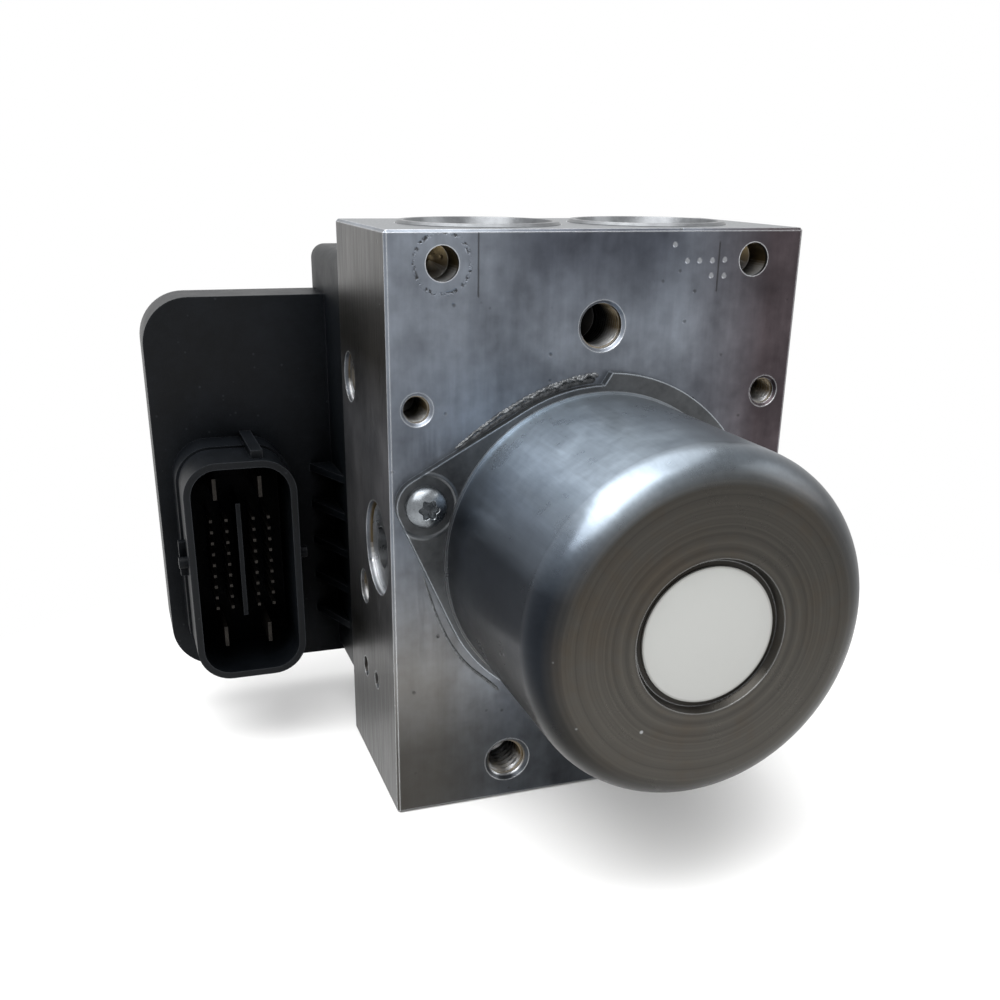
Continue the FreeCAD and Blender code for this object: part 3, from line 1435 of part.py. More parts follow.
def make_board():
    """The circuit board on its posts, and the parts soldered on it."""
    body = new_body("circuit_board")
    front = "(wing_front + tray_floor + post_height)"
    margin = "(tray_wall + board_margin)"
    corner = "wing_corner - " + margin
    raise_outline(body, "board_plate", "back", front, "board_thickness",
                  rectangle("wing_end + " + margin, case_half + " - " + margin, "coil_case_foot + " + margin,
                            "wing_top - " + margin), [corner, None, None, corner])
    sink_rounds(body, "board_notches", "back", front + " + board_thickness", "board_thickness",
                both_sides("screw_place", "screw_low"), "column_radius + board_margin")
    make_components(front + " + board_thickness")


def make_components(rear):
    """The larger parts soldered on the board: packages as blocks, capacitors as cans."""
    chips = new_body("circuit_components")
    for name, (across, up, width, height, rise) in packages.items():
        raise_outline(chips, name, "back", rear, rise,
                      rectangle("%s - %s/2" % (across, width), "%s + %s/2" % (across, width),
                                "%s - %s/2" % (up, height), "%s + %s/2" % (up, height)))
    raise_rounds(chips, "capacitors", "back", rear, "capacitor_rise", capacitor_spots, "capacitor_radius")


def make_pins():
    """Terminals of the plug: small square pins in four columns, and wide blades above and below them."""
    body = new_body("connector_pins")
    length = "wing_front + tray_floor + post_height - pin_tip"
    level = "wing_front + tray_floor + post_height"
    foot = shroud_centre + " - pin_row_pitch*(pin_rows - 1)/2"
    drawing = sketch(body, "pin_sections", "front", level)
    for column in ("-outer_column", "-inner_column", "inner_column", "outer_column"):
        across = "%s + %s" % (shroud_middle, column)
        outline(drawing, "front", rectangle(across + " - pin_width/2", across + " + pin_width/2",
                                            foot + " - pin_width/2", foot + " + pin_width/2"))
    first = grow(body, drawing, length)
    row_of(body, "pins", [first], "Z_Axis", "pin_row_pitch", "pin_rows")
    drawing = sketch(body, "blade_sections", "front", level)
    for across in ("-blade_offset", "blade_offset"):
        for up in ("-blade_reach", "blade_reach"):
            x = "%s + %s" % (shroud_middle, across)
            z = "%s + %s" % (shroud_centre, up)
            outline(drawing, "front", rectangle(x + " - blade_thickness/2", x + " + blade_thickness/2",
                                                z + " - blade_width/2", z + " + blade_width/2"))
    grow(body, drawing, length)


def make_unit_screws():
    screws = []
    head = tray_rear
    top = head + " + unit_screw_head_height"
    recess = top + " - drive_recess_depth"
    tip = "(block_depth/2 - unit_screw_depth + face_gap)"
    for number, (across, up) in enumerate(unit_screw_spots(), 1):
        screws.append(turned("unit_screw_%d" % number, [
            ("0", tip), ("unit_screw_radius - unit_screw_point", tip),
            ("unit_screw_radius", tip + " + unit_screw_point"), ("unit_screw_radius", head),
            ("unit_screw_head", head), ("unit_screw_head", top + " - unit_screw_head_edge"),
            ("unit_screw_head - unit_screw_head_edge", top), ("drive_recess_radius", top),
            ("drive_recess_radius", recess), ("0", recess)], across, "0", up, "back"))
    group("ecu_screws", screws)


def check_everything():
    for thing in doc.Objects:
        if any(word in thing.State for word in ("Invalid", "Error")):
            raise ValueError("%s failed: %s" % (thing.Name, thing.State))
    for name, thing in parts.items():
        if thing.Shape.isNull() or not thing.Shape.isValid() or not thing.Shape.Solids:
            raise ValueError(name + " has no valid solid")


def write_parts():
    os.makedirs("parts", exist_ok=True)
    for name, thing in parts.items():
        thing.Shape.exportStep("parts/%s.step" % name)
        print("%-26s %3d solids %10.1f mm3" % (name, len(thing.Shape.Solids), thing.Shape.Volume))
    print(len(parts), "parts")


make_block()
make_gallery_plugs()
for side in ("left", "right"):
    make_pump(side)
    make_accumulator(side)
make_valves()
make_coils()
make_flange()
make_can()
make_motor_fixed()
make_bead()
make_motor_screws()
make_brush_gear()
make_shaft()
make_rotor()
make_housing()
make_gasket()
make_lid()
make_board()
make_pins()
make_unit_screws()
doc.recompute()
check_everything()
write_parts()
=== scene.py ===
import json
import math

import bpy
import numpy as np
from mathutils import Matrix, Vector


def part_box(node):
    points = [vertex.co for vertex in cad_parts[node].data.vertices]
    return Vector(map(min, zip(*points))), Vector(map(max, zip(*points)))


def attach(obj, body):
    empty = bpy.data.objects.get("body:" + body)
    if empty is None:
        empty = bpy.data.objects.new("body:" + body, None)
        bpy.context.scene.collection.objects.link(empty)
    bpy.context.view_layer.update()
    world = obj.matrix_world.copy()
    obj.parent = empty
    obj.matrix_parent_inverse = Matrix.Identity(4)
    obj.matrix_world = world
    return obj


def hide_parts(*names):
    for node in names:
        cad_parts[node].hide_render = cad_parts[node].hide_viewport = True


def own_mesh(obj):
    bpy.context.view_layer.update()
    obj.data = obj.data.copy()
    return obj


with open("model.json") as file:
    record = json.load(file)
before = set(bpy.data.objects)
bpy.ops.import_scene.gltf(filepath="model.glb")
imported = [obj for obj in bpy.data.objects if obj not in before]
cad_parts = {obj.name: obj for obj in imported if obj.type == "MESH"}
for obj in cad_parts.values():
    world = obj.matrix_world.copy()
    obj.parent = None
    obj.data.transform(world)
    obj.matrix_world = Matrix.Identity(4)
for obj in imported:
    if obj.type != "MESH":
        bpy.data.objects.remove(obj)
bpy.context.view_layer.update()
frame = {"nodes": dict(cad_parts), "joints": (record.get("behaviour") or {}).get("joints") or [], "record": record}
nodes = frame["nodes"]

# The motor's axis runs along Y through (0, axisHeight), in metres. The block's front face is in millimetres.
axisHeight = 0.0558
blockFront = -21.0
mm = 0.001


def addNode(tree, kind, inputs=None, **fields):
    item = tree.nodes.new(kind)
    for name, setting in fields.items():
        setattr(item, name, setting)
    for name, setting in (inputs or {}).items():
        socket = item.inputs[name]
        if isinstance(setting, bpy.types.NodeSocket):
            tree.links.new(setting, socket)
        else:
            lacksAlpha = socket.type == "RGBA" and len(setting) == 3
            socket.default_value = (*setting, 1.0) if lacksAlpha else setting
    return item


def maths(tree, operation, first, second=0.0, clamp=False):
    item = addNode(tree, "ShaderNodeMath", {0: first, 1: second}, operation=operation, use_clamp=clamp)
    return item.outputs[0]


def times(tree, first, second):
    return maths(tree, "MULTIPLY", first, second)


def vectorMaths(tree, operation, first, second=(0, 0, 0)):
    item = addNode(tree, "ShaderNodeVectorMath", {0: first, 1: second}, operation=operation)
    return item.outputs["Value" if operation in ("LENGTH", "DISTANCE", "DOT_PRODUCT") else "Vector"]


def frontOffset(tree, place, centre):  # the way from a centre to the place, as the front view shows it
    return vectorMaths(tree, "MULTIPLY", vectorMaths(tree, "SUBTRACT", place, centre), (1, 0, 1))


def ramp(tree, amount, low, high, start=0.0, end=1.0):  # from one span to another, held at both ends
    item = addNode(tree, "ShaderNodeMapRange", {"Value": amount, "From Min": low, "From Max": high,
                                                "To Min": start, "To Max": end})
    return item.outputs["Result"]


def blend(tree, amount, first, second):
    item = addNode(tree, "ShaderNodeMix", {0: amount, 6: first, 7: second}, data_type="RGBA")
    return item.outputs[2]


def band(tree, amount, stops):  # colours at stated places from 0 to 1, with smooth steps between them
    item = addNode(tree, "ShaderNodeValToRGB", {"Fac": amount})
    marks = item.color_ramp.elements
    marks[0].position, marks[0].color = stops[0][0], (*stops[0][1], 1.0)
    marks[1].position, marks[1].color = stops[-1][0], (*stops[-1][1], 1.0)
    for spot, colour in stops[1:-1]:
        marks.new(spot).color = (*colour, 1.0)
    return item.outputs["Color"]


def multiplyColour(tree, amount, first, second):
    item = addNode(tree, "ShaderNodeMix", {0: amount, 6: first, 7: second}, data_type="RGBA",
                   blend_type="MULTIPLY")
    return item.outputs[2]


def tint(tree, amount, base, mask, dark, bright):  # the colour times a tone between two, as the mask says
    return multiplyColour(tree, amount, base, blend(tree, mask, dark, bright))


def newGroup(name, inputs, outputs):  # inputs {name: (socket type, default)}, outputs {name: socket type}
    tree = bpy.data.node_groups.new(name, "ShaderNodeTree")
    for label, (kind, default) in inputs.items():
        socket = tree.interface.new_socket(label, in_out="INPUT", socket_type="NodeSocket" + kind)
        socket.default_value = default
    for label, kind in outputs.items():
        tree.interface.new_socket(label, in_out="OUTPUT", socket_type="NodeSocket" + kind)
    start, end = tree.nodes.new("NodeGroupInput"), tree.nodes.new("NodeGroupOutput")
    return tree, start.outputs, end.inputs


def useGroup(tree, group, inputs=None):
    item = tree.nodes.new("ShaderNodeGroup")
    item.node_tree = group
    for name, setting in (inputs or {}).items():
        if isinstance(setting, bpy.types.NodeSocket):
            tree.links.new(setting, item.inputs[name])
        else:
            item.inputs[name].default_value = setting
    return item.outputs


def newMaterial(name):
    material = bpy.data.materials.new(name)
    material.use_nodes = True
    tree = material.node_tree
    tree.nodes.clear()
    place = addNode(tree, "ShaderNodeTexCoord").outputs["Object"]
    return material, tree, place


def finishMaterial(tree, colour, roughness, metallic=0.0, normal=None, **fixed):
    shader = addNode(tree, "ShaderNodeBsdfPrincipled", {"Base Color": colour, "Roughness": roughness,
                                                        "Metallic": metallic})
    for name, setting in fixed.items():
        socket = shader.inputs[name.replace("_", " ")]
        if isinstance(setting, bpy.types.NodeSocket):
            tree.links.new(setting, socket)
        else:
            socket.default_value = setting
    if normal is not None:
        tree.links.new(normal, shader.inputs["Normal"])
    addNode(tree, "ShaderNodeOutputMaterial", {"Surface": shader.outputs[0]})


def bump(tree, height, distance, strength=1.0, normal=None):
    inputs = {"Height": height, "Distance": distance, "Strength": strength}
    if normal is not None:
        inputs["Normal"] = normal
    return addNode(tree, "ShaderNodeBump", inputs).outputs[0]


# edges get rubbed wear and a painted highlight through this mask
def makeEdgeWearAndShine():  # 1 along sharp edges: the angle between the true normal and one rounded over the reach
    tree, given, out = newGroup("edgeWearAndShine", {"Reach": ("Float", 0.0004), "Gain": ("Float", 3.0)},
                                {"Mask": "Float"})
    soft = addNode(tree, "ShaderNodeBevel", {"Radius": given["Reach"]}, samples=4).outputs[0]
    true = addNode(tree, "ShaderNodeNewGeometry").outputs["Normal"]
    agree = vectorMaths(tree, "DOT_PRODUCT", soft, true)
    edge = maths(tree, "MULTIPLY", maths(tree, "SUBTRACT", 1.0, agree), given["Gain"], True)
    tree.links.new(edge, out["Mask"])
    return tree


def makeMottle():  # clouds at three scales, added up
    tree, given, out = newGroup("mottle", {"Place": ("Vector", (0, 0, 0)), "Size": ("Float", 0.02)},
                                {"Value": "Float"})
    total = None
    for share, scale, detail in ((0.5, 1.0, 3.0), (0.3, 3.3, 4.0), (0.2, 11.0, 3.0)):
        fine = maths(tree, "DIVIDE", scale, given["Size"])
        cloud = addNode(tree, "ShaderNodeTexNoise", {"Vector": given["Place"], "Scale": fine,
                                                     "Detail": detail})
        part = times(tree, cloud.outputs["Fac"], share)
        total = part if total is None else maths(tree, "ADD", total, part)
    tree.links.new(total, out["Value"])
    return tree


def makeStreaks():  # noise stretched along one axis, as a cutter or a brush leaves it
    tree, given, out = newGroup("streaks", {"Place": ("Vector", (0, 0, 0)),
                                            "Stretch": ("Vector", (1, 1, 0.02)),
                                            "Scale": ("Float", 2500.0)}, {"Value": "Float"})
    drawn = vectorMaths(tree, "MULTIPLY", given["Place"], given["Stretch"])
    fine = addNode(tree, "ShaderNodeTexNoise", {"Vector": drawn, "Scale": given["Scale"], "Detail": 4.0,
                                                "Roughness": 0.65})
    tree.links.new(fine.outputs["Fac"], out["Value"])
    return tree


def makeRings():  # noise that changes only with the distance from the motor's axis, as turning leaves it
    tree, given, out = newGroup("rings", {"Place": ("Vector", (0, 0, 0)), "Scale": ("Float", 900.0)},
                                {"Value": "Float", "Radius": "Float"})
    radius = vectorMaths(tree, "LENGTH", frontOffset(tree, given["Place"], (0, 0, axisHeight)))
    wobble = addNode(tree, "ShaderNodeTexNoise", {"Vector": given["Place"], "Scale": 60.0}).outputs["Fac"]
    drift = maths(tree, "ADD", radius, times(tree, wobble, 0.0006))
    line = addNode(tree, "ShaderNodeTexNoise", {"W": drift, "Scale": given["Scale"], "Detail": 3.0,
                                                "Roughness": 0.6}, noise_dimensions="1D")
    tree.links.new(line.outputs["Fac"], out["Value"])
    tree.links.new(radius, out["Radius"])
    return tree


def makeSpecks():  # small round spots at a stated share of the cells
    tree, given, out = newGroup("specks", {"Place": ("Vector", (0, 0, 0)), "Size": ("Float", 0.0006),
                                           "Share": ("Float", 0.15)}, {"Mask": "Float"})
    cells = maths(tree, "DIVIDE", 0.4, given["Size"])
    spot = addNode(tree, "ShaderNodeTexVoronoi", {"Vector": given["Place"], "Scale": cells})
    chosen = addNode(tree, "ShaderNodeSeparateColor", {0: spot.outputs["Color"]}).outputs[0]
    near = ramp(tree, spot.outputs["Distance"], 0.12, 0.28, 1.0, 0.0)
    kept = maths(tree, "LESS_THAN", chosen, given["Share"])
    tree.links.new(times(tree, near, kept), out["Mask"])
    return tree


def makeFacing():  # masks of the faces that look to the front, to either side and up
    tree, given, out = newGroup("facing", {"Limit": ("Float", 0.8)},
                                {"Front": "Float", "Side": "Float", "Top": "Float", "Up": "Float"})
    true = addNode(tree, "ShaderNodeNewGeometry").outputs["True Normal"]
    local = addNode(tree, "ShaderNodeVectorTransform", {0: true}, vector_type="NORMAL", convert_from="WORLD",
                    convert_to="OBJECT").outputs[0]
    parts = addNode(tree, "ShaderNodeSeparateXYZ", {0: local}).outputs
    across = maths(tree, "ABSOLUTE", parts[0])
    ahead = times(tree, parts[1], -1.0)
    for label, amount in (("Front", ahead), ("Side", across), ("Top", parts[2])):
        tree.links.new(maths(tree, "GREATER_THAN", amount, given["Limit"]), out[label])
    tree.links.new(parts[2], out["Up"])
    return tree


def makeSpot():  # distance in the front view from a centre, and a soft disc of a stated radius round it
    tree, given, out = newGroup("spot", {"Place": ("Vector", (0, 0, 0)), "Centre": ("Vector", (0, 0, 0)),
                                         "Radius": ("Float", 0.001)}, {"Distance": "Float", "Mask": "Float"})
    gap = vectorMaths(tree, "LENGTH", frontOffset(tree, given["Place"], given["Centre"]))
    inner = times(tree, given["Radius"], 0.6)
    tree.links.new(gap, out["Distance"])
    tree.links.new(ramp(tree, gap, inner, given["Radius"], 1.0, 0.0), out["Mask"])
    return tree


edgeWearAndShine = makeEdgeWearAndShine()
facing = makeFacing()
spot = makeSpot()
mottle = makeMottle()
streaks = makeStreaks()
rings = makeRings()
specks = makeSpecks()
print("shader groups made")


blockLook = {
    "bright": (0.205, 0.228, 0.262), "dark": (0.098, 0.107, 0.124), "warm": (0.150, 0.135, 0.112),
    "edge": (0.78, 0.80, 0.82), "stain": (0.020, 0.019, 0.018), "shadedTop": (0.150, 0.160, 0.172),
    # the side faces' tone by height is a painted reflection and shade: dark low down and near the top, light
    # between
    "side": [(0.0, (0.009, 0.0085, 0.0075)), (0.26, (0.012, 0.0115, 0.010)), (0.42, (0.140, 0.142, 0.150)),
             (0.66, (0.180, 0.184, 0.200)), (0.80, (0.037, 0.035, 0.032)), (1.0, (0.035, 0.034, 0.032))],
    # drilling walls as painted light and shade: bright where they face up, brownish where they face down, dark
    # deep in
    "boreUp": (0.85, 0.87, 0.90), "boreDown": (0.150, 0.112, 0.058), "boreDeep": (0.022, 0.021, 0.020),
    "sparkle": (0.70, 0.68, 0.62), "roughness": (0.28, 0.44), "brush": 0.000006,
    # parts of the front with a painted tone: darker and redder to the right and darker at the foot are painted
    # reflection, the middle darker near the top, the corner browner low on the left; where they fade in, in
    # metres, and how strong they are
    "right": {"across": (0.016, 0.036), "share": 0.9, "tone": (0.40, 0.26, 0.24)},
    "middle": {"across": (0.012, 0.028), "up": (0.096, 0.114), "share": 0.95, "tone": (0.43, 0.43, 0.46)},
    "corner": {"across": (-0.018, -0.034), "up": (0.062, 0.030), "share": 0.6},
    "foot": {"up": (0.034, 0.014), "share": 0.85, "tone": (0.27, 0.265, 0.25)}, "height": 0.118,
    # marks across and up in millimetres: dots, one pit, a ring with its radius, and lines with both ends
    "dimples": [(14.45, 115.1), (17.3, 112.1), (19.95, 112.1), (22.7, 112.1), (25.4, 112.2), (22.7, 109.3),
                (25.5, 109.2)],
    "dimpleRadius": 0.62, "pit": (20.5, 85.2), "imprint": (-31.8, 112.2, 5.35),
    "scribes": [(-25.0, 106.0, 117.8), (24.1, 106.0, 115.7)],
}


def addMarks(tree, place, look):  # masks of the bright dots and of the dark ring, scribed lines and pit
    parts = addNode(tree, "ShaderNodeSeparateXYZ", {0: place}).outputs
    front = useGroup(tree, facing)["Front"]
    discs = [useGroup(tree, spot, {"Place": place, "Centre": (across * mm, 0, up * mm),
                                   "Radius": look["dimpleRadius"] * mm})["Mask"]
             for across, up in look["dimples"] + [look["pit"]]]
    light, total = discs[0], discs[-1]
    for disc in discs[1:-1]:
        light = maths(tree, "MAXIMUM", light, disc)
    across, up, radius = look["imprint"]
    gap = useGroup(tree, spot, {"Place": place, "Centre": (across * mm, 0, up * mm)})["Distance"]
    off = maths(tree, "ABSOLUTE", maths(tree, "SUBTRACT", gap, radius * mm))
    circle = ramp(tree, off, 0.0002, 0.0005, 1.0, 0.0)
    rough = addNode(tree, "ShaderNodeTexNoise", {"Vector": place, "Scale": 1500.0}).outputs["Fac"]
    total = maths(tree, "MAXIMUM", total, times(tree, circle, ramp(tree, rough, 0.45, 0.6)))
    for across, low, high in look["scribes"]:
        off = maths(tree, "ABSOLUTE", maths(tree, "SUBTRACT", parts[0], across * mm))
        line = ramp(tree, off, 0.00008, 0.00022, 0.8, 0.0)
        span = times(tree, ramp(tree, parts[2], low * mm, (low + 0.4) * mm),
                     ramp(tree, parts[2], (high - 0.4) * mm, high * mm, 1.0, 0.0))
        total = maths(tree, "MAXIMUM", total, times(tree, line, span))
    return times(tree, light, front), times(tree, total, front)


def insideBlock(tree, place):  # distance from the nearest outer face, negative in the drillings
    low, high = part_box("hydraulic_block")
    centre = [(a + b) / 2 for a, b in zip(low, high)]
    half = [(b - a) / 2 for a, b in zip(low, high)]
    apart = vectorMaths(tree, "ABSOLUTE", vectorMaths(tree, "SUBTRACT", place, centre))
    left = vectorMaths(tree, "SUBTRACT", apart, half)
    parts = addNode(tree, "ShaderNodeSeparateXYZ", {0: left}).outputs
    return maths(tree, "MAXIMUM", maths(tree, "MAXIMUM", parts[0], parts[1]), parts[2])


def makeBlockMaterial(look):
    material, tree, place = newMaterial("machinedAluminium")
    faces = useGroup(tree, facing)
    parts = addNode(tree, "ShaderNodeSeparateXYZ", {0: place}).outputs
    clouds = useGroup(tree, mottle, {"Place": place, "Size": 0.030})["Value"]
    brushed = useGroup(tree, streaks, {"Place": place, "Stretch": (1, 1, 0.03), "Scale": 2600.0})["Value"]
    coarse = useGroup(tree, streaks, {"Place": place, "Stretch": (1, 1, 0.08), "Scale": 420.0})["Value"]
    smears = useGroup(tree, streaks, {"Place": place, "Stretch": (1, 1, 0.35), "Scale": 60.0})["Value"]
    base = blend(tree, ramp(tree, clouds, 0.38, 0.62), look["dark"], look["bright"])
    base = tint(tree, 0.45, base, coarse, (0.5, 0.5, 0.51), (1.4, 1.4, 1.4))
    base = tint(tree, 0.6, base, ramp(tree, smears, 0.35, 0.65), (0.6, 0.6, 0.62), (1.3, 1.3, 1.3))
    # painted reflection on the front: darker and redder to the right, darker at the foot; the top middle darker,
    # the lower left corner browner
    zone = look["right"]
    base = multiplyColour(tree, ramp(tree, parts[0], *zone["across"], 0.0, zone["share"]), base, zone["tone"])
    zone = look["middle"]
    middle = times(tree, ramp(tree, maths(tree, "ABSOLUTE", parts[0]), *zone["across"], 1.0, 0.0),
                   ramp(tree, parts[2], *zone["up"]))
    base = multiplyColour(tree, times(tree, middle, zone["share"]), base, zone["tone"])
    zone = look["corner"]
    corner = times(tree, ramp(tree, parts[0], *zone["across"]), ramp(tree, parts[2], *zone["up"]))
    base = blend(tree, times(tree, corner, zone["share"]), base, look["warm"])
    zone = look["foot"]
    foot = ramp(tree, parts[2], *zone["up"])
    base = multiplyColour(tree, times(tree, foot, zone["share"]), base, zone["tone"])
    # painted reflection and shade on the side faces, by height and varied by the clouds
    level = maths(tree, "DIVIDE", parts[2], look["height"])
    sideTone = tint(tree, 0.7, band(tree, level, look["side"]), ramp(tree, clouds, 0.4, 0.6), (0.6, 0.6, 0.6),
                    (1.5, 1.45, 1.4))
    base = blend(tree, faces["Side"], base, sideTone)
    # painted shade: the faces that look up take one flat, darkened colour against the glare on the top
    base = blend(tree, faces["Top"], base, look["shadedTop"])
    spots = useGroup(tree, specks, {"Place": place, "Size": 0.0007, "Share": 0.05})["Mask"]
    pits = useGroup(tree, specks, {"Place": place, "Size": 0.0011, "Share": 0.35})["Mask"]
    pits = times(tree, pits, times(tree, faces["Side"], ramp(tree, parts[1], -0.012, -0.017)))
    dimples, marks = addMarks(tree, place, look)
    dark = maths(tree, "MAXIMUM", times(tree, spots, 0.6), maths(tree, "MAXIMUM", pits, marks))
    base = blend(tree, times(tree, dark, 0.85), base, look["stain"])
    base = blend(tree, times(tree, dimples, 0.22), base, look["edge"])
    glints = useGroup(tree, specks, {"Place": place, "Size": 0.0008, "Share": 0.16})["Mask"]
    glints = times(tree, glints, times(tree, faces["Side"], ramp(tree, parts[1], -0.006, -0.016)))
    base = blend(tree, times(tree, glints, ramp(tree, parts[2], 0.058, 0.070)), base, look["sparkle"])
    # painted light and shade in the drillings: walls facing up lit bright, walls facing down brownish, deeper
    # walls dark
    depth = insideBlock(tree, place)
    wall = blend(tree, ramp(tree, faces["Up"], 0.15, 0.55), look["boreDown"], look["boreUp"])
    wall = blend(tree, ramp(tree, depth, -0.0035, -0.0080), wall, look["boreDeep"])
    within = ramp(tree, depth, -0.0006, -0.0011)
    base = blend(tree, within, base, wall)
    # bright edges are rubbed metal and a painted highlight on the chamfers, weaker inside the drillings
    edge = useGroup(tree, edgeWearAndShine, {"Reach": 0.0004, "Gain": 5.0})["Mask"]
    edge = times(tree, edge, maths(tree, "SUBTRACT", 0.9, times(tree, within, 0.7)))
    base = blend(tree, edge, base, look["edge"])
    rough = ramp(tree, brushed, 0.3, 0.7, *look["roughness"])
    grooved = bump(tree, brushed, look["brush"])
    normal = bump(tree, maths(tree, "MAXIMUM", dark, dimples), -0.00015, 0.8, grooved)
    finishMaterial(tree, base, rough, 0.9, normal)
    return material


canLook = {
    # the side's tone round the axis is a painted reflection: bright bluish at the upper left, near black round the
    # left, brown at the bottom, grey on the right
    "around": [(0.0, (0.026, 0.024, 0.020)), (0.25, (0.085, 0.090, 0.095)), (0.39, (0.100, 0.108, 0.118)),
               (0.50, (0.190, 0.220, 0.250)), (0.56, (0.300, 0.355, 0.410)), (0.605, (0.400, 0.470, 0.540)),
               (0.65, (0.170, 0.205, 0.250)), (0.70, (0.026, 0.032, 0.042)), (0.77, (0.013, 0.016, 0.021)),
               (0.85, (0.009, 0.0085, 0.007)), (1.0, (0.026, 0.024, 0.020))],
    "shoulder": 0.62, "endFace": (0.048, 0.045, 0.040), "stain": (0.049, 0.041, 0.032),
    "roughness": (0.24, 0.36), "turning": 0.000005, "faceRadius": 0.0262, "labelGroove": (0.0122, 0.0134),
    "footLine": -0.0237, "nickAndShine": (0.62, 0.64, 0.66),
}


def makeCanMaterial(look):
    material, tree, place = newMaterial("drawnSteel")
    turned = useGroup(tree, rings, {"Place": place, "Scale": 900.0})
    parts = addNode(tree, "ShaderNodeSeparateXYZ", {0: place}).outputs
    clouds = useGroup(tree, mottle, {"Place": place, "Size": 0.018})["Value"]
    drawn = useGroup(tree, streaks, {"Place": place, "Stretch": (1, 0.06, 1), "Scale": 900.0})["Value"]
    rise = maths(tree, "SUBTRACT", parts[2], axisHeight)
    angle = maths(tree, "ARCTAN2", times(tree, parts[0], -1.0), rise)
    turnShare = maths(tree, "ADD", maths(tree, "DIVIDE", angle, 2 * math.pi), 0.5)
    # painted reflection and highlight: the side's colour follows the angle round the axis and dims towards the
    # shoulder
    side = band(tree, turnShare, look["around"])
    side = tint(tree, 0.5, side, ramp(tree, clouds, 0.35, 0.65), (0.75, 0.75, 0.76), (1.2, 1.2, 1.2))
    side = tint(tree, 0.5, side, drawn, (0.6, 0.6, 0.6), (1.4, 1.4, 1.4))
    shoulder = ramp(tree, parts[1], -0.0640, -0.0690, 1.0, look["shoulder"])
    side = addNode(tree, "ShaderNodeVectorMath", {0: side, "Scale": shoulder}, operation="SCALE").outputs[0]
    face = blend(tree, ramp(tree, clouds, 0.48, 0.62, 0.0, 0.7), look["endFace"], look["stain"])
    face = tint(tree, 0.48, face, ramp(tree, turned["Value"], 0.3, 0.7), (0.6, 0.6, 0.61), (1.3, 1.28, 1.25))
    onFace = ramp(tree, turned["Radius"], look["faceRadius"] + 0.004, look["faceRadius"])
    base = blend(tree, onFace, side, face)
    grooveIn, grooveOut = look["labelGroove"]
    groove = times(tree, ramp(tree, turned["Radius"], grooveIn, grooveIn + 0.0002),
                   ramp(tree, turned["Radius"], grooveOut, grooveOut - 0.0003))
    base = multiplyColour(tree, times(tree, groove, 0.8), base, (0.2, 0.2, 0.2))
    nicks = useGroup(tree, specks, {"Place": place, "Size": 0.0006, "Share": 0.006})["Mask"]
    base = blend(tree, times(tree, nicks, 0.3), base, look["nickAndShine"])
    # a painted highlight along the foot line, and rubbed metal with a painted highlight on the edges
    foot = ramp(tree, parts[1], look["footLine"], look["footLine"] + 0.0002)
    edge = useGroup(tree, edgeWearAndShine, {"Reach": 0.0004, "Gain": 3.0})["Mask"]
    paler = maths(tree, "MAXIMUM", times(tree, edge, 0.4), times(tree, foot, 0.22))
    base = blend(tree, paler, base, look["nickAndShine"])
    # the lines run round the can and its end, so the highlight is drawn out along the can and along the radius
    outward = vectorMaths(tree, "NORMALIZE", frontOffset(tree, place, (0, 0, axisHeight)))
    along = vectorMaths(tree, "ADD", outward, (0, 1, 0))
    rough = ramp(tree, clouds, 0.3, 0.7, *look["roughness"])
    lines = maths(tree, "ADD", times(tree, turned["Value"], onFace),
                  times(tree, drawn, maths(tree, "SUBTRACT", 1.0, onFace)))
    finishMaterial(tree, base, rough, 0.9, bump(tree, lines, look["turning"]), Anisotropic=0.7, Tangent=along)
    return material


def makeMetal(name, dark, bright, roughness, size=0.004, metallic=0.95, wearAndShine=0.5):
    material, tree, place = newMaterial(name)
    clouds = useGroup(tree, mottle, {"Place": place, "Size": size})["Value"]
    base = blend(tree, ramp(tree, clouds, 0.35, 0.65), dark, bright)
    # edges blend to a lighter tone: rubbed metal and a painted highlight
    edge = useGroup(tree, edgeWearAndShine, {"Reach": 0.0003, "Gain": 3.0})["Mask"]
    shine = tuple(min(1.0, 1.6 * c + 0.1) for c in bright)
    base = blend(tree, times(tree, edge, wearAndShine), base, shine)
    rough = ramp(tree, clouds, 0.3, 0.7, roughness, roughness + 0.14)
    finishMaterial(tree, base, rough, metallic, bump(tree, clouds, 0.00001))
    return material


plasticLook = {"deep": (0.0022, 0.0028, 0.0036), "paler": (0.0044, 0.0055, 0.0072),
               "edge": (0.040, 0.044, 0.050), "roughness": (0.34, 0.50), "grain": 0.000012, "shine": 0.13}


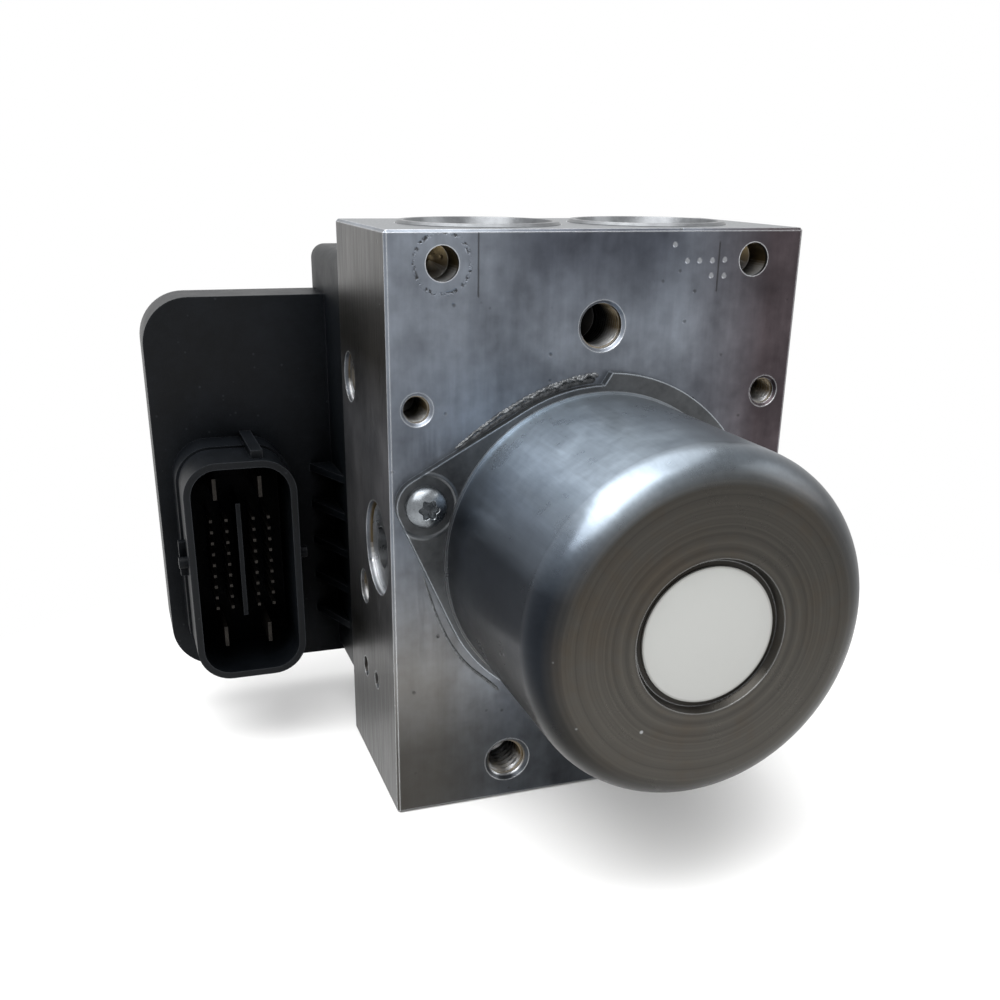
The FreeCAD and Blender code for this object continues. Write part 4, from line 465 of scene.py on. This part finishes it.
def makePlastic(name, look, grainSize=0.00035):
    material, tree, place = newMaterial(name)
    clouds = useGroup(tree, mottle, {"Place": place, "Size": 0.022})["Value"]
    cells = addNode(tree, "ShaderNodeTexVoronoi", {"Vector": place, "Scale": 1.0 / grainSize})
    grain = cells.outputs["Distance"]
    dust = useGroup(tree, specks, {"Place": place, "Size": 0.0005, "Share": 0.06})["Mask"]
    base = blend(tree, ramp(tree, clouds, 0.4, 0.62), look["deep"], look["paler"])
    base = blend(tree, times(tree, dust, 0.25), base, look["edge"])
    # lighter edges: wear and a painted highlight
    edge = useGroup(tree, edgeWearAndShine, {"Reach": 0.0004, "Gain": 2.5})["Mask"]
    base = blend(tree, times(tree, edge, 0.7), base, look["edge"])
    rough = ramp(tree, clouds, 0.3, 0.7, *look["roughness"])
    # deep places hold less light, so their shine fades with how closed in they are
    openness = addNode(tree, "ShaderNodeAmbientOcclusion", {"Distance": 0.02}, samples=6).outputs["AO"]
    shine = ramp(tree, openness, 0.25, 0.9, 0.0, look["shine"])
    # painted shade: the colour darkens too where the surface is closed in
    base = tint(tree, 1.0, base, ramp(tree, openness, 0.2, 0.7), (0.1, 0.1, 0.1), (1, 1, 1))
    finishMaterial(tree, base, rough, 0.0, bump(tree, grain, look["grain"]), Specular_IOR_Level=shine)
    return material


flangeLook = {"dark": (0.047, 0.049, 0.052), "bright": (0.099, 0.104, 0.109), "edge": (0.66, 0.72, 0.78),
              "ears": [(-36.1, 68.1), (36.1, 43.5)], "ring": 6.3}


def makeFlangeMaterial(look):
    material, tree, place = newMaterial("pressedSteel")
    clouds = useGroup(tree, mottle, {"Place": place, "Size": 0.012})["Value"]
    base = blend(tree, ramp(tree, clouds, 0.35, 0.65), look["dark"], look["bright"])
    pressed = None
    for across, up in look["ears"]:
        gap = useGroup(tree, spot, {"Place": place, "Centre": (across * mm, 0, up * mm)})["Distance"]
        off = maths(tree, "ABSOLUTE", maths(tree, "SUBTRACT", gap, look["ring"] * mm))
        circle = ramp(tree, off, 0.0001, 0.0005, 1.0, 0.0)
        pressed = circle if pressed is None else maths(tree, "MAXIMUM", pressed, circle)
    # bright edges: rubbed metal and a painted highlight
    edge = useGroup(tree, edgeWearAndShine, {"Reach": 0.0005, "Gain": 4.0})["Mask"]
    base = blend(tree, times(tree, edge, 0.85), base, look["edge"])
    base = blend(tree, times(tree, pressed, 0.06), base, look["edge"])
    rough = ramp(tree, clouds, 0.3, 0.7, 0.30, 0.42)
    finishMaterial(tree, base, rough, 0.9, bump(tree, pressed, 0.0002, 0.7, bump(tree, clouds, 0.00001)))
    return material


labelLook = {"high": (0.345, 0.350, 0.339), "low": (0.317, 0.320, 0.309), "rim": (0.20, 0.20, 0.19)}


def makeLabelMaterial(look):
    material, tree, place = newMaterial("blankFilm")
    parts = addNode(tree, "ShaderNodeSeparateXYZ", {0: place}).outputs
    # painted light: the film is lighter towards the upper left and darker towards the lower right
    rise = maths(tree, "SUBTRACT", parts[2], axisHeight)
    slope = maths(tree, "SUBTRACT", rise, times(tree, parts[0], 0.4))
    base = blend(tree, ramp(tree, slope, -0.012, 0.012), look["low"], look["high"])
    radius = useGroup(tree, rings, {"Place": place})["Radius"]
    base = blend(tree, ramp(tree, radius, 0.01185, 0.0122), base, look["rim"])
    clouds = useGroup(tree, mottle, {"Place": place, "Size": 0.01})["Value"]
    finishMaterial(tree, base, ramp(tree, clouds, 0.3, 0.7, 0.30, 0.38), 0.0, bump(tree, clouds, 0.00002))
    return material


blockMetal = makeBlockMaterial(blockLook)
canSteel = makeCanMaterial(canLook)
finishes = {
    "machined_aluminium": blockMetal,
    "bare_aluminium": makeMetal("turnedAluminium", (0.34, 0.36, 0.38), (0.52, 0.54, 0.56), 0.24),
    "bearing_steel": makeMetal("groundSteel", (0.36, 0.36, 0.37), (0.50, 0.50, 0.51), 0.16),
    "spring_steel": makeMetal("springWire", (0.20, 0.20, 0.21), (0.34, 0.34, 0.35), 0.28),
    "black_rubber": makePlastic("blackRubber", dict(plasticLook, deep=(0.010, 0.010, 0.011),
                                                    paler=(0.024, 0.024, 0.025), roughness=(0.55, 0.7))),
    "valve_steel": makeMetal("valveSteel", (0.28, 0.28, 0.28), (0.46, 0.46, 0.45), 0.22),
    "can_steel": canSteel,
    "flange_steel": makeFlangeMaterial(flangeLook),
    "screw_steel": makeMetal("platedSteel", (0.105, 0.115, 0.125), (0.21, 0.225, 0.24), 0.20),
    "bronze": makeMetal("sinteredBronze", (0.24, 0.15, 0.07), (0.40, 0.26, 0.13), 0.42, 0.002),
    "magnet_ferrite": makeMetal("ferrite", (0.030, 0.030, 0.032), (0.060, 0.060, 0.062), 0.55, 0.003, 0.3),
    "core_steel": makeMetal("coreSheet", (0.10, 0.10, 0.105), (0.19, 0.19, 0.20), 0.36, 0.003),
    "copper": makeMetal("enamelledCopper", (0.40, 0.16, 0.07), (0.62, 0.28, 0.13), 0.28, 0.002),
    "carbon": makeMetal("pressedCarbon", (0.016, 0.016, 0.016), (0.036, 0.036, 0.036), 0.55, 0.002, 0.1),
    "holder_plastic": makePlastic("holderPlastic", dict(plasticLook, deep=(0.012, 0.012, 0.012),
                                                        paler=(0.030, 0.029, 0.028))),
    "label_film": makeLabelMaterial(labelLook),
    "housing_plastic": makePlastic("housingPlastic", plasticLook),
    "lid_plastic": makePlastic("lidPlastic", dict(plasticLook, paler=(0.017, 0.019, 0.021))),
    "board_laminate": makePlastic("boardLaminate", dict(plasticLook, deep=(0.010, 0.060, 0.026),
                                                        paler=(0.016, 0.085, 0.038), edge=(0.10, 0.16, 0.08))),
    "component_plastic": makePlastic("componentPlastic", dict(plasticLook, deep=(0.010, 0.010, 0.010),
                                                              paler=(0.022, 0.022, 0.022))),
    "tinned_pins": makeMetal("tinnedPins", (0.010, 0.009, 0.008), (0.030, 0.027, 0.024), 0.34, 0.002, 0.9,
                             0.05),
}
turnedCap = makeMetal("turnedCap", (0.115, 0.120, 0.126), (0.185, 0.192, 0.200), 0.30)
ownFinishes = {  # nodes whose place or wear gives them another look than the rest of their slot
    "accumulator_cap_left": turnedCap, "accumulator_cap_right": turnedCap,
    "gallery_plugs": makeMetal("pressedPlug", (0.050, 0.046, 0.038), (0.110, 0.100, 0.085), 0.30),
    "pump_plug_left": makeMetal("crimpedPlug", (0.13, 0.135, 0.14), (0.26, 0.27, 0.28), 0.22),
    "pump_plug_right": makeMetal("crimpedPlug", (0.13, 0.135, 0.14), (0.26, 0.27, 0.28), 0.22),
}
for row in frame["record"]["subparts"]:
    piece = nodes[row["node"]]
    piece.data.materials.clear()
    piece.data.materials.append(ownFinishes.get(row["node"], finishes[row["material_slot"]]))
print("materials made:", len(finishes))


sharpAngle = math.radians(38)


def makeSurface(name, grid, closedEnds, slotName):
    # grid is rows by columns by 3: columns run round the piece, rows along it, closed to a ring or by a fan
    rows, columns = grid.shape[:2]
    points = grid.reshape(-1, 3)
    ring = np.arange(columns)
    after = (ring + 1) % columns
    starts = np.arange(rows - 1 if closedEnds else rows)
    low = (starts * columns)[:, None]
    high = (((starts + 1) % rows) * columns)[:, None]
    quads = np.stack([low + ring, low + after, high + after, high + ring], axis=-1).reshape(-1, 4)
    corners = points[quads]
    halves = np.concatenate([corners[:, [0, 1, 2]], corners[:, [0, 2, 3]]])
    centred = halves - points.mean(axis=0)
    volume = np.einsum("ij,ij->i", centred[:, 0], np.cross(centred[:, 1], centred[:, 2])).sum()
    faces = quads.tolist()
    if closedEnds:
        first, last = len(points), len(points) + 1
        points = np.concatenate([points, grid[:1].mean(axis=1), grid[-1:].mean(axis=1)])
        faces += np.stack([np.full(columns, first), after, ring], axis=-1).tolist()
        top = (rows - 1) * columns
        faces += np.stack([np.full(columns, last), top + ring, top + after], axis=-1).tolist()
    mesh = bpy.data.meshes.new(name)
    mesh.from_pydata(points.tolist(), [], faces)
    if volume < 0:  # the normals point outward whichever way the grid was laid
        mesh.flip_normals()
    mesh.shade_smooth()
    mesh.set_sharp_from_angle(angle=sharpAngle)
    mesh.materials.append(finishes[slotName])
    piece = bpy.data.objects.new(name, mesh)
    bpy.context.collection.objects.link(piece)
    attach(piece, "hydraulic_unit")
    return piece


screwLook = {"centres": [(-36.1, 68.1), (36.1, 43.5)], "plateFront": -23.0, "headHeight": 3.2, "foot": 0.7,
             "headRadius": 4.1, "recess": 1.75, "lobe": 0.26, "recessDepth": 1.7, "shank": 2.45, "tip": -13.2,
             "pitch": 0.8, "thread": 0.28, "around": 84}


def makeScrews(look):
    # a dome by a quarter ellipse, a recess whose radius swells six times round, and a helical shank
    turn = np.linspace(0, 2 * np.pi, look["around"], endpoint=False)
    lobes = look["recess"] + look["lobe"] * np.cos(6 * turn)
    crown = look["headHeight"] - look["foot"]
    top = look["plateFront"] - look["headHeight"]

    def dome(radius):
        return top + crown * (1 - np.sqrt(np.clip(1 - (radius / look["headRadius"]) ** 2, 0, 1)))

    radii = [lobes * 0.1, lobes - 0.12, lobes, lobes + 0.12]
    depths = [np.full_like(turn, top + look["recessDepth"]), np.full_like(turn, top + look["recessDepth"]),
              dome(lobes) + 0.14, dome(lobes + 0.12)]
    for share in np.linspace(0.08, 1.0, 22):
        outer = np.sin(share * np.pi / 2)
        radius = (lobes + 0.12) * (1 - outer) + look["headRadius"] * outer
        radii.append(radius)
        depths.append(dome(radius))
    for radius in (look["headRadius"], look["shank"]):
        radii.append(np.full_like(turn, radius))
        depths.append(np.full_like(turn, look["plateFront"] - 0.02))
    for depth in np.arange(look["plateFront"] + 0.3, look["tip"] - 0.6, 0.1):
        phase = (depth / look["pitch"] - turn / (2 * np.pi)) % 1.0
        radii.append(look["shank"] - look["thread"] * np.abs(2 * phase - 1))
        depths.append(np.full_like(turn, depth))
    for radius, depth in ((look["shank"] - 0.7, look["tip"]), (0.3, look["tip"])):
        radii.append(np.full_like(turn, radius))
        depths.append(np.full_like(turn, depth))
    radius, depth = np.array(radii) * mm, np.array(depths) * mm
    made = []
    for name, (across, up) in zip(("motorScrewLeft", "motorScrewRight"), look["centres"]):
        grid = np.stack([across * mm + radius * np.cos(turn), depth,
                         up * mm + radius * np.sin(turn)], axis=-1)
        made.append(makeSurface(name, grid, True, "screw_steel"))
    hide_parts("motor_screws")
    return made


beads = {  # the path across and up, half the width, the height, their share at both ends, and how lumpy it is
    "sealantBead": {"path": [(-29.6, 78.3), (-28.9, 78.9), (-24.3, 82.3), (-16.3, 86.6), (-8.2, 89.9),
                             (-0.3, 91.1)],
                    "width": 0.52, "height": 0.62, "ends": (0.45, 1.1), "lumps": 1.3, "seed": 11},
    "sealantFilm": {"path": [(-28.6, 78.4), (-24.0, 81.5), (-16.0, 85.8), (-8.0, 89.1), (-0.9, 90.2)],
                    "width": 0.62, "height": 0.16, "ends": (0.5, 1.0), "lumps": 0.3, "seed": 5},
    "sealantResidue": {"path": [(-36.2, 53.4), (-32.4, 42.2), (-29.2, 35.2), (-23.8, 29.9), (-20.0, 25.8)],
                       "width": 0.42, "height": 0.24, "ends": (0.5, 0.9), "lumps": 0.7, "seed": 23},
}


def makeBead(name, look):
    # a tube swept along a cubic through the path, flat at the back, its radius varied by crossing waves
    path = np.array(look["path"])
    curve = np.polyfit(path[:, 0], path[:, 1], 3)
    along = np.linspace(path[0, 0], path[-1, 0], 420)
    up = np.polyval(curve, along)
    slope = np.polyval(np.polyder(curve), along)
    size = np.hypot(1, slope)
    side = np.stack([-slope / size, np.zeros_like(slope), 1 / size], axis=-1)
    turn = np.linspace(0, 2 * np.pi, 30, endpoint=False)
    chance = np.random.default_rng(look["seed"])
    lumps = np.zeros((len(along), len(turn)))
    for pace, share in ((0.7, 0.12), (1.3, 0.10), (2.6, 0.09), (4.9, 0.08), (9.0, 0.06)):
        for twist in (-3, -2, -1, 0, 1, 2, 3):
            swell = share / 2 * chance.normal()
            wave = pace * along[:, None] * 1.9 + chance.uniform(0, 6.28) + twist * turn[None, :]
            lumps += swell * np.sin(wave)
    taper = np.linspace(*look["ends"], len(along))
    ends = np.sqrt(np.clip(np.minimum(along - along[0], along[-1] - along) / 0.7, 0.0004, 1))
    reach = (1 + look["lumps"] * lumps) * (ends * taper)[:, None]
    across = look["width"] * np.cos(turn)[None, :] * reach
    out = np.maximum(look["height"] * np.sin(turn)[None, :] * reach, -0.06)
    spine = np.stack([along, np.full_like(along, blockFront), up], axis=-1)
    grid = spine[:, None, :] + across[:, :, None] * side[:, None, :] - out[:, :, None] * np.array([0, 1, 0])
    piece = makeSurface(name, grid * mm, True, "black_rubber")
    piece.data.materials[0] = sealant
    return piece


sealant = makeMetal("sealant", (0.010, 0.011, 0.012), (0.150, 0.158, 0.165), 0.30, 0.0008, 0.5, 0.25)
threadLook = {  # centre, core radius, pitch, first and last depth, all in millimetres
    "bracketThreadLeft": ((-36.9, 86.2), 2.6, 1.0, -19.9, -12.0),
    "bracketThreadRight": ((36.9, 86.2), 2.6, 1.0, -19.9, -12.0),
    "footThreadLeft": ((-17.85, 9.0), 4.1, 1.5, -19.4, -10.0),
    "footThreadRight": ((17.85, 9.0), 4.1, 1.5, -19.4, -10.0),
    "centreThread": ((0.0, 100.3), 4.3, 1.0, -19.4, -9.0),
}
# the clearances are in millimetres, and the depth is a share of the pitch
threadFit = {"around": 96, "perPitch": 8, "clear": 0.05, "depth": 0.30, "back": 0.02}


def makeThread(name, centre, radius, pitch, first, last):
    # a tube closed to a ring: its inner wall swells in a helix, its outer wall lies just inside the drilling
    turn = np.linspace(0, 2 * np.pi, threadFit["around"], endpoint=False)
    depth = np.arange(first, last, pitch / threadFit["perPitch"])
    phase = (depth[:, None] / pitch - turn[None, :] / (2 * np.pi)) % 1.0
    inner = radius - threadFit["clear"] - threadFit["depth"] * pitch * np.abs(2 * phase - 1)
    outer = np.full_like(inner[:2], radius - threadFit["back"])
    radii = np.concatenate([inner, outer])
    depths = np.concatenate([np.repeat(depth[:, None], len(turn), axis=1),
                             np.array([[depth[-1]], [depth[0]]]) * np.ones(len(turn))])
    grid = np.stack([centre[0] + radii * np.cos(turn), depths,
                     centre[1] + radii * np.sin(turn)], axis=-1) * mm
    return makeSurface(name, grid, False, "machined_aluminium")


springs = [  # node, the piece that presses it, its joint, the wire's radius in millimetres and the turns
    *[(kind + "_spring_" + side, kind + "_piston_" + side, kind + "_piston_" + side + "_slide", wire, turns)
      for kind, wire, turns in (("pump", 0.4, 6.0), ("accumulator", 0.8, 5.5)) for side in ("left", "right")],
    *[("brush_springs", "brush_" + side, "brush_" + side + "_slide", 0.3, 5.0) for side in ("left", "right")],
    *[("valve_springs", "%s_plunger_%d" % (row, number), "%s_valve_%d_slide" % (row, number), 0.25, 3.5)
      for row in ("inlet", "outlet") for number in (1, 2, 3, 4)],
]
springReach = 0.0045  # valve springs further than this from a plunger's axis belong to its neighbours
coilLook = {"wireShare": 0.92, "perTurn": 32, "section": 10, "closedTurns": 0.75, "closedRise": 2.5}


def makeSpring(node, mover, jointName, wire, turns):
    # wire swept along a helix with closed end turns; the CAD spring's points give its axis, ends and radius
    joint = next(row for row in frame["joints"] if row["name"] == jointName)
    axis, stroke = np.array(joint["axis"], float), max(joint["range_m"])
    along = int(np.argmax(np.abs(axis)))
    cross = [i for i in range(3) if i != along]
    points = np.empty(len(nodes[node].data.vertices) * 3)
    nodes[node].data.vertices.foreach_get("co", points)
    points = points.reshape(-1, 3)
    middle = np.mean(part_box(mover), axis=0)
    if node == "valve_springs":
        points = points[np.hypot(*(points[:, cross] - middle[cross]).T) < springReach]
    if node == "brush_springs":
        points = points[points[:, along] * axis[along] > 0]
    low, high = points.min(axis=0), points.max(axis=0)
    centre = (low + high) / 2
    wire = wire * mm * coilLook["wireShare"]
    radius = np.hypot(*(points[:, cross] - centre[cross]).T).max() - wire
    length = high[along] - low[along]
    turn = np.linspace(0, 2 * np.pi * turns, int(turns * coilLook["perTurn"]))
    closed, endRise = coilLook["closedTurns"], coilLook["closedRise"] * wire
    rise = np.interp(turn / (2 * np.pi), [0, closed, turns - closed, turns],
                     [wire, endRise, length - endRise, length - wire])
    section = np.linspace(0, 2 * np.pi, coilLook["section"], endpoint=False)
    reach = radius + wire * np.cos(section)[None, :]
    grid = np.empty((len(turn), len(section), 3))
    grid[:, :, cross[0]] = centre[cross[0]] + reach * np.cos(turn)[:, None]
    grid[:, :, cross[1]] = centre[cross[1]] + reach * np.sin(turn)[:, None]
    grid[:, :, along] = low[along] + rise[:, None] + wire * np.sin(section)[None, :]
    piece = makeSurface("coil_" + mover, grid, True, "spring_steel")
    anchor = centre.copy()
    anchor[along] = high[along] if axis[along] > 0 else low[along]
    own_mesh(piece)
    return piece


coils = [makeSpring(*row) for row in springs]
for row, piece in zip(springs, coils):
    if not nodes[row[0]].hide_render:
        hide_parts(row[0])
print("springs made:", len(coils))

made = makeScrews(screwLook) + coils
sealantPieces = [makeBead(name, look) for name, look in beads.items()]
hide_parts("sealing_bead")
made += sealantPieces
made += [makeThread(name, *facts) for name, facts in threadLook.items()]
print("pieces made:", len(made), "triangles:", sum(len(p.data.polygons) for p in made) * 2)


stageLook = {"size": 6.0, "level": -0.0001, "centre": (0.012, -0.07, 0.0), "fadeStart": 0.075, "fadeEnd": 0.225,
             "tone": 0.06, "paper": (0.93, 0.93, 0.925)}


def makeFloor(look):
    mesh = bpy.data.meshes.new("floor")
    half, level = look["size"] / 2, look["level"]
    mesh.from_pydata([(-half, -half, level), (half, -half, level), (half, half, level), (-half, half, level)],
                     [], [(0, 1, 2, 3)])
    floor = bpy.data.objects.new("floor", mesh)
    bpy.context.collection.objects.link(floor)
    material, tree, place = newMaterial("floorPaper")
    seen = addNode(tree, "ShaderNodeLightPath").outputs
    watched = maths(tree, "MAXIMUM", seen["Is Camera Ray"], seen["Is Glossy Ray"])
    watched = maths(tree, "MAXIMUM", watched, seen["Is Transmission Ray"])
    reach = vectorMaths(tree, "DISTANCE", place, look["centre"])
    far = ramp(tree, reach, look["fadeStart"], look["fadeEnd"], look["tone"], 1.0)
    paper = addNode(tree, "ShaderNodeBsdfDiffuse", {"Color": look["paper"]}).outputs[0]
    glow = addNode(tree, "ShaderNodeEmission", {"Color": (1.0, 1.0, 1.0), "Strength": 1.0}).outputs[0]
    share = times(tree, far, watched)
    mixed = addNode(tree, "ShaderNodeMixShader", {0: share, 1: paper, 2: glow}).outputs[0]
    under = addNode(tree, "ShaderNodeNewGeometry").outputs["Backfacing"]  # from below, the view passes through
    clear = addNode(tree, "ShaderNodeBsdfTransparent").outputs[0]
    mixed = addNode(tree, "ShaderNodeMixShader", {0: under, 1: mixed, 2: clear}).outputs[0]
    addNode(tree, "ShaderNodeOutputMaterial", {"Surface": mixed})
    mesh.materials.append(material)


worldLook = {"light": 0.55, "seen": 1.0}


def makeWorld(look):
    world = bpy.data.worlds.new("studio")
    bpy.context.scene.world = world
    world.use_nodes = True
    tree = world.node_tree
    tree.nodes.clear()
    seen = addNode(tree, "ShaderNodeLightPath").outputs
    watched = maths(tree, "MAXIMUM", seen["Is Camera Ray"], seen["Is Glossy Ray"])
    watched = maths(tree, "MAXIMUM", watched, seen["Is Transmission Ray"])
    strength = ramp(tree, watched, 0.0, 1.0, look["light"], look["seen"])
    sky = addNode(tree, "ShaderNodeBackground", {"Color": (1.0, 1.0, 1.0), "Strength": strength}).outputs[0]
    addNode(tree, "ShaderNodeOutputWorld", {"Surface": sky})


lamps = {  # place, size and power of each soft box, all aimed at the middle of the module
    "keyBox": ((-0.40, -0.35, 0.80), 0.80, 9.0),
    "ceilingBox": ((-0.12, 0.05, 0.95), 1.10, 10.0),
    "sideBox": ((0.75, -0.35, 0.45), 0.50, 2.0),
}


def makeLamps(settings):
    for name, (spot, size, power) in settings.items():
        lamp = bpy.data.lights.new(name, "AREA")
        lamp.shape, lamp.size, lamp.energy = "SQUARE", size, power
        holder = bpy.data.objects.new(name, lamp)
        holder.location = spot
        aim = Vector((0.0, 0.0, 0.05)) - Vector(spot)
        holder.rotation_euler = aim.to_track_quat("-Z", "Y").to_euler()
        bpy.context.collection.objects.link(holder)


cameraLook = {"place": (-0.09093, -0.22262, 0.12884), "yaw": 0.339, "pitch": 0.391, "roll": -0.014,
              "lens": 40.314, "shiftX": -0.0005, "shiftY": 0.1256}


def makeCamera(look):
    yaw, pitch, roll = look["yaw"], look["pitch"], look["roll"]
    ahead = Vector((math.sin(yaw) * math.cos(pitch), math.cos(yaw) * math.cos(pitch), -math.sin(pitch)))
    across = Vector((math.cos(yaw), -math.sin(yaw), 0.0))
    down = ahead.cross(across)
    right = math.cos(roll) * across + math.sin(roll) * down
    low = math.cos(roll) * down - math.sin(roll) * across
    camera = bpy.data.cameras.new("camera")
    camera.lens, camera.sensor_width, camera.sensor_fit = look["lens"], 36.0, "AUTO"
    camera.shift_x, camera.shift_y = look["shiftX"], look["shiftY"]
    camera.clip_start, camera.clip_end = 0.01, 20.0
    holder = bpy.data.objects.new("camera", camera)
    turn = Matrix((right, -low, -ahead)).transposed().to_4x4()
    holder.matrix_world = Matrix.Translation(look["place"]) @ turn
    bpy.context.collection.objects.link(holder)
    bpy.context.scene.camera = holder


makeFloor(stageLook)
makeWorld(worldLook)
makeLamps(lamps)
makeCamera(cameraLook)
bpy.context.scene.view_settings.view_transform = "Standard"
print("stage set")
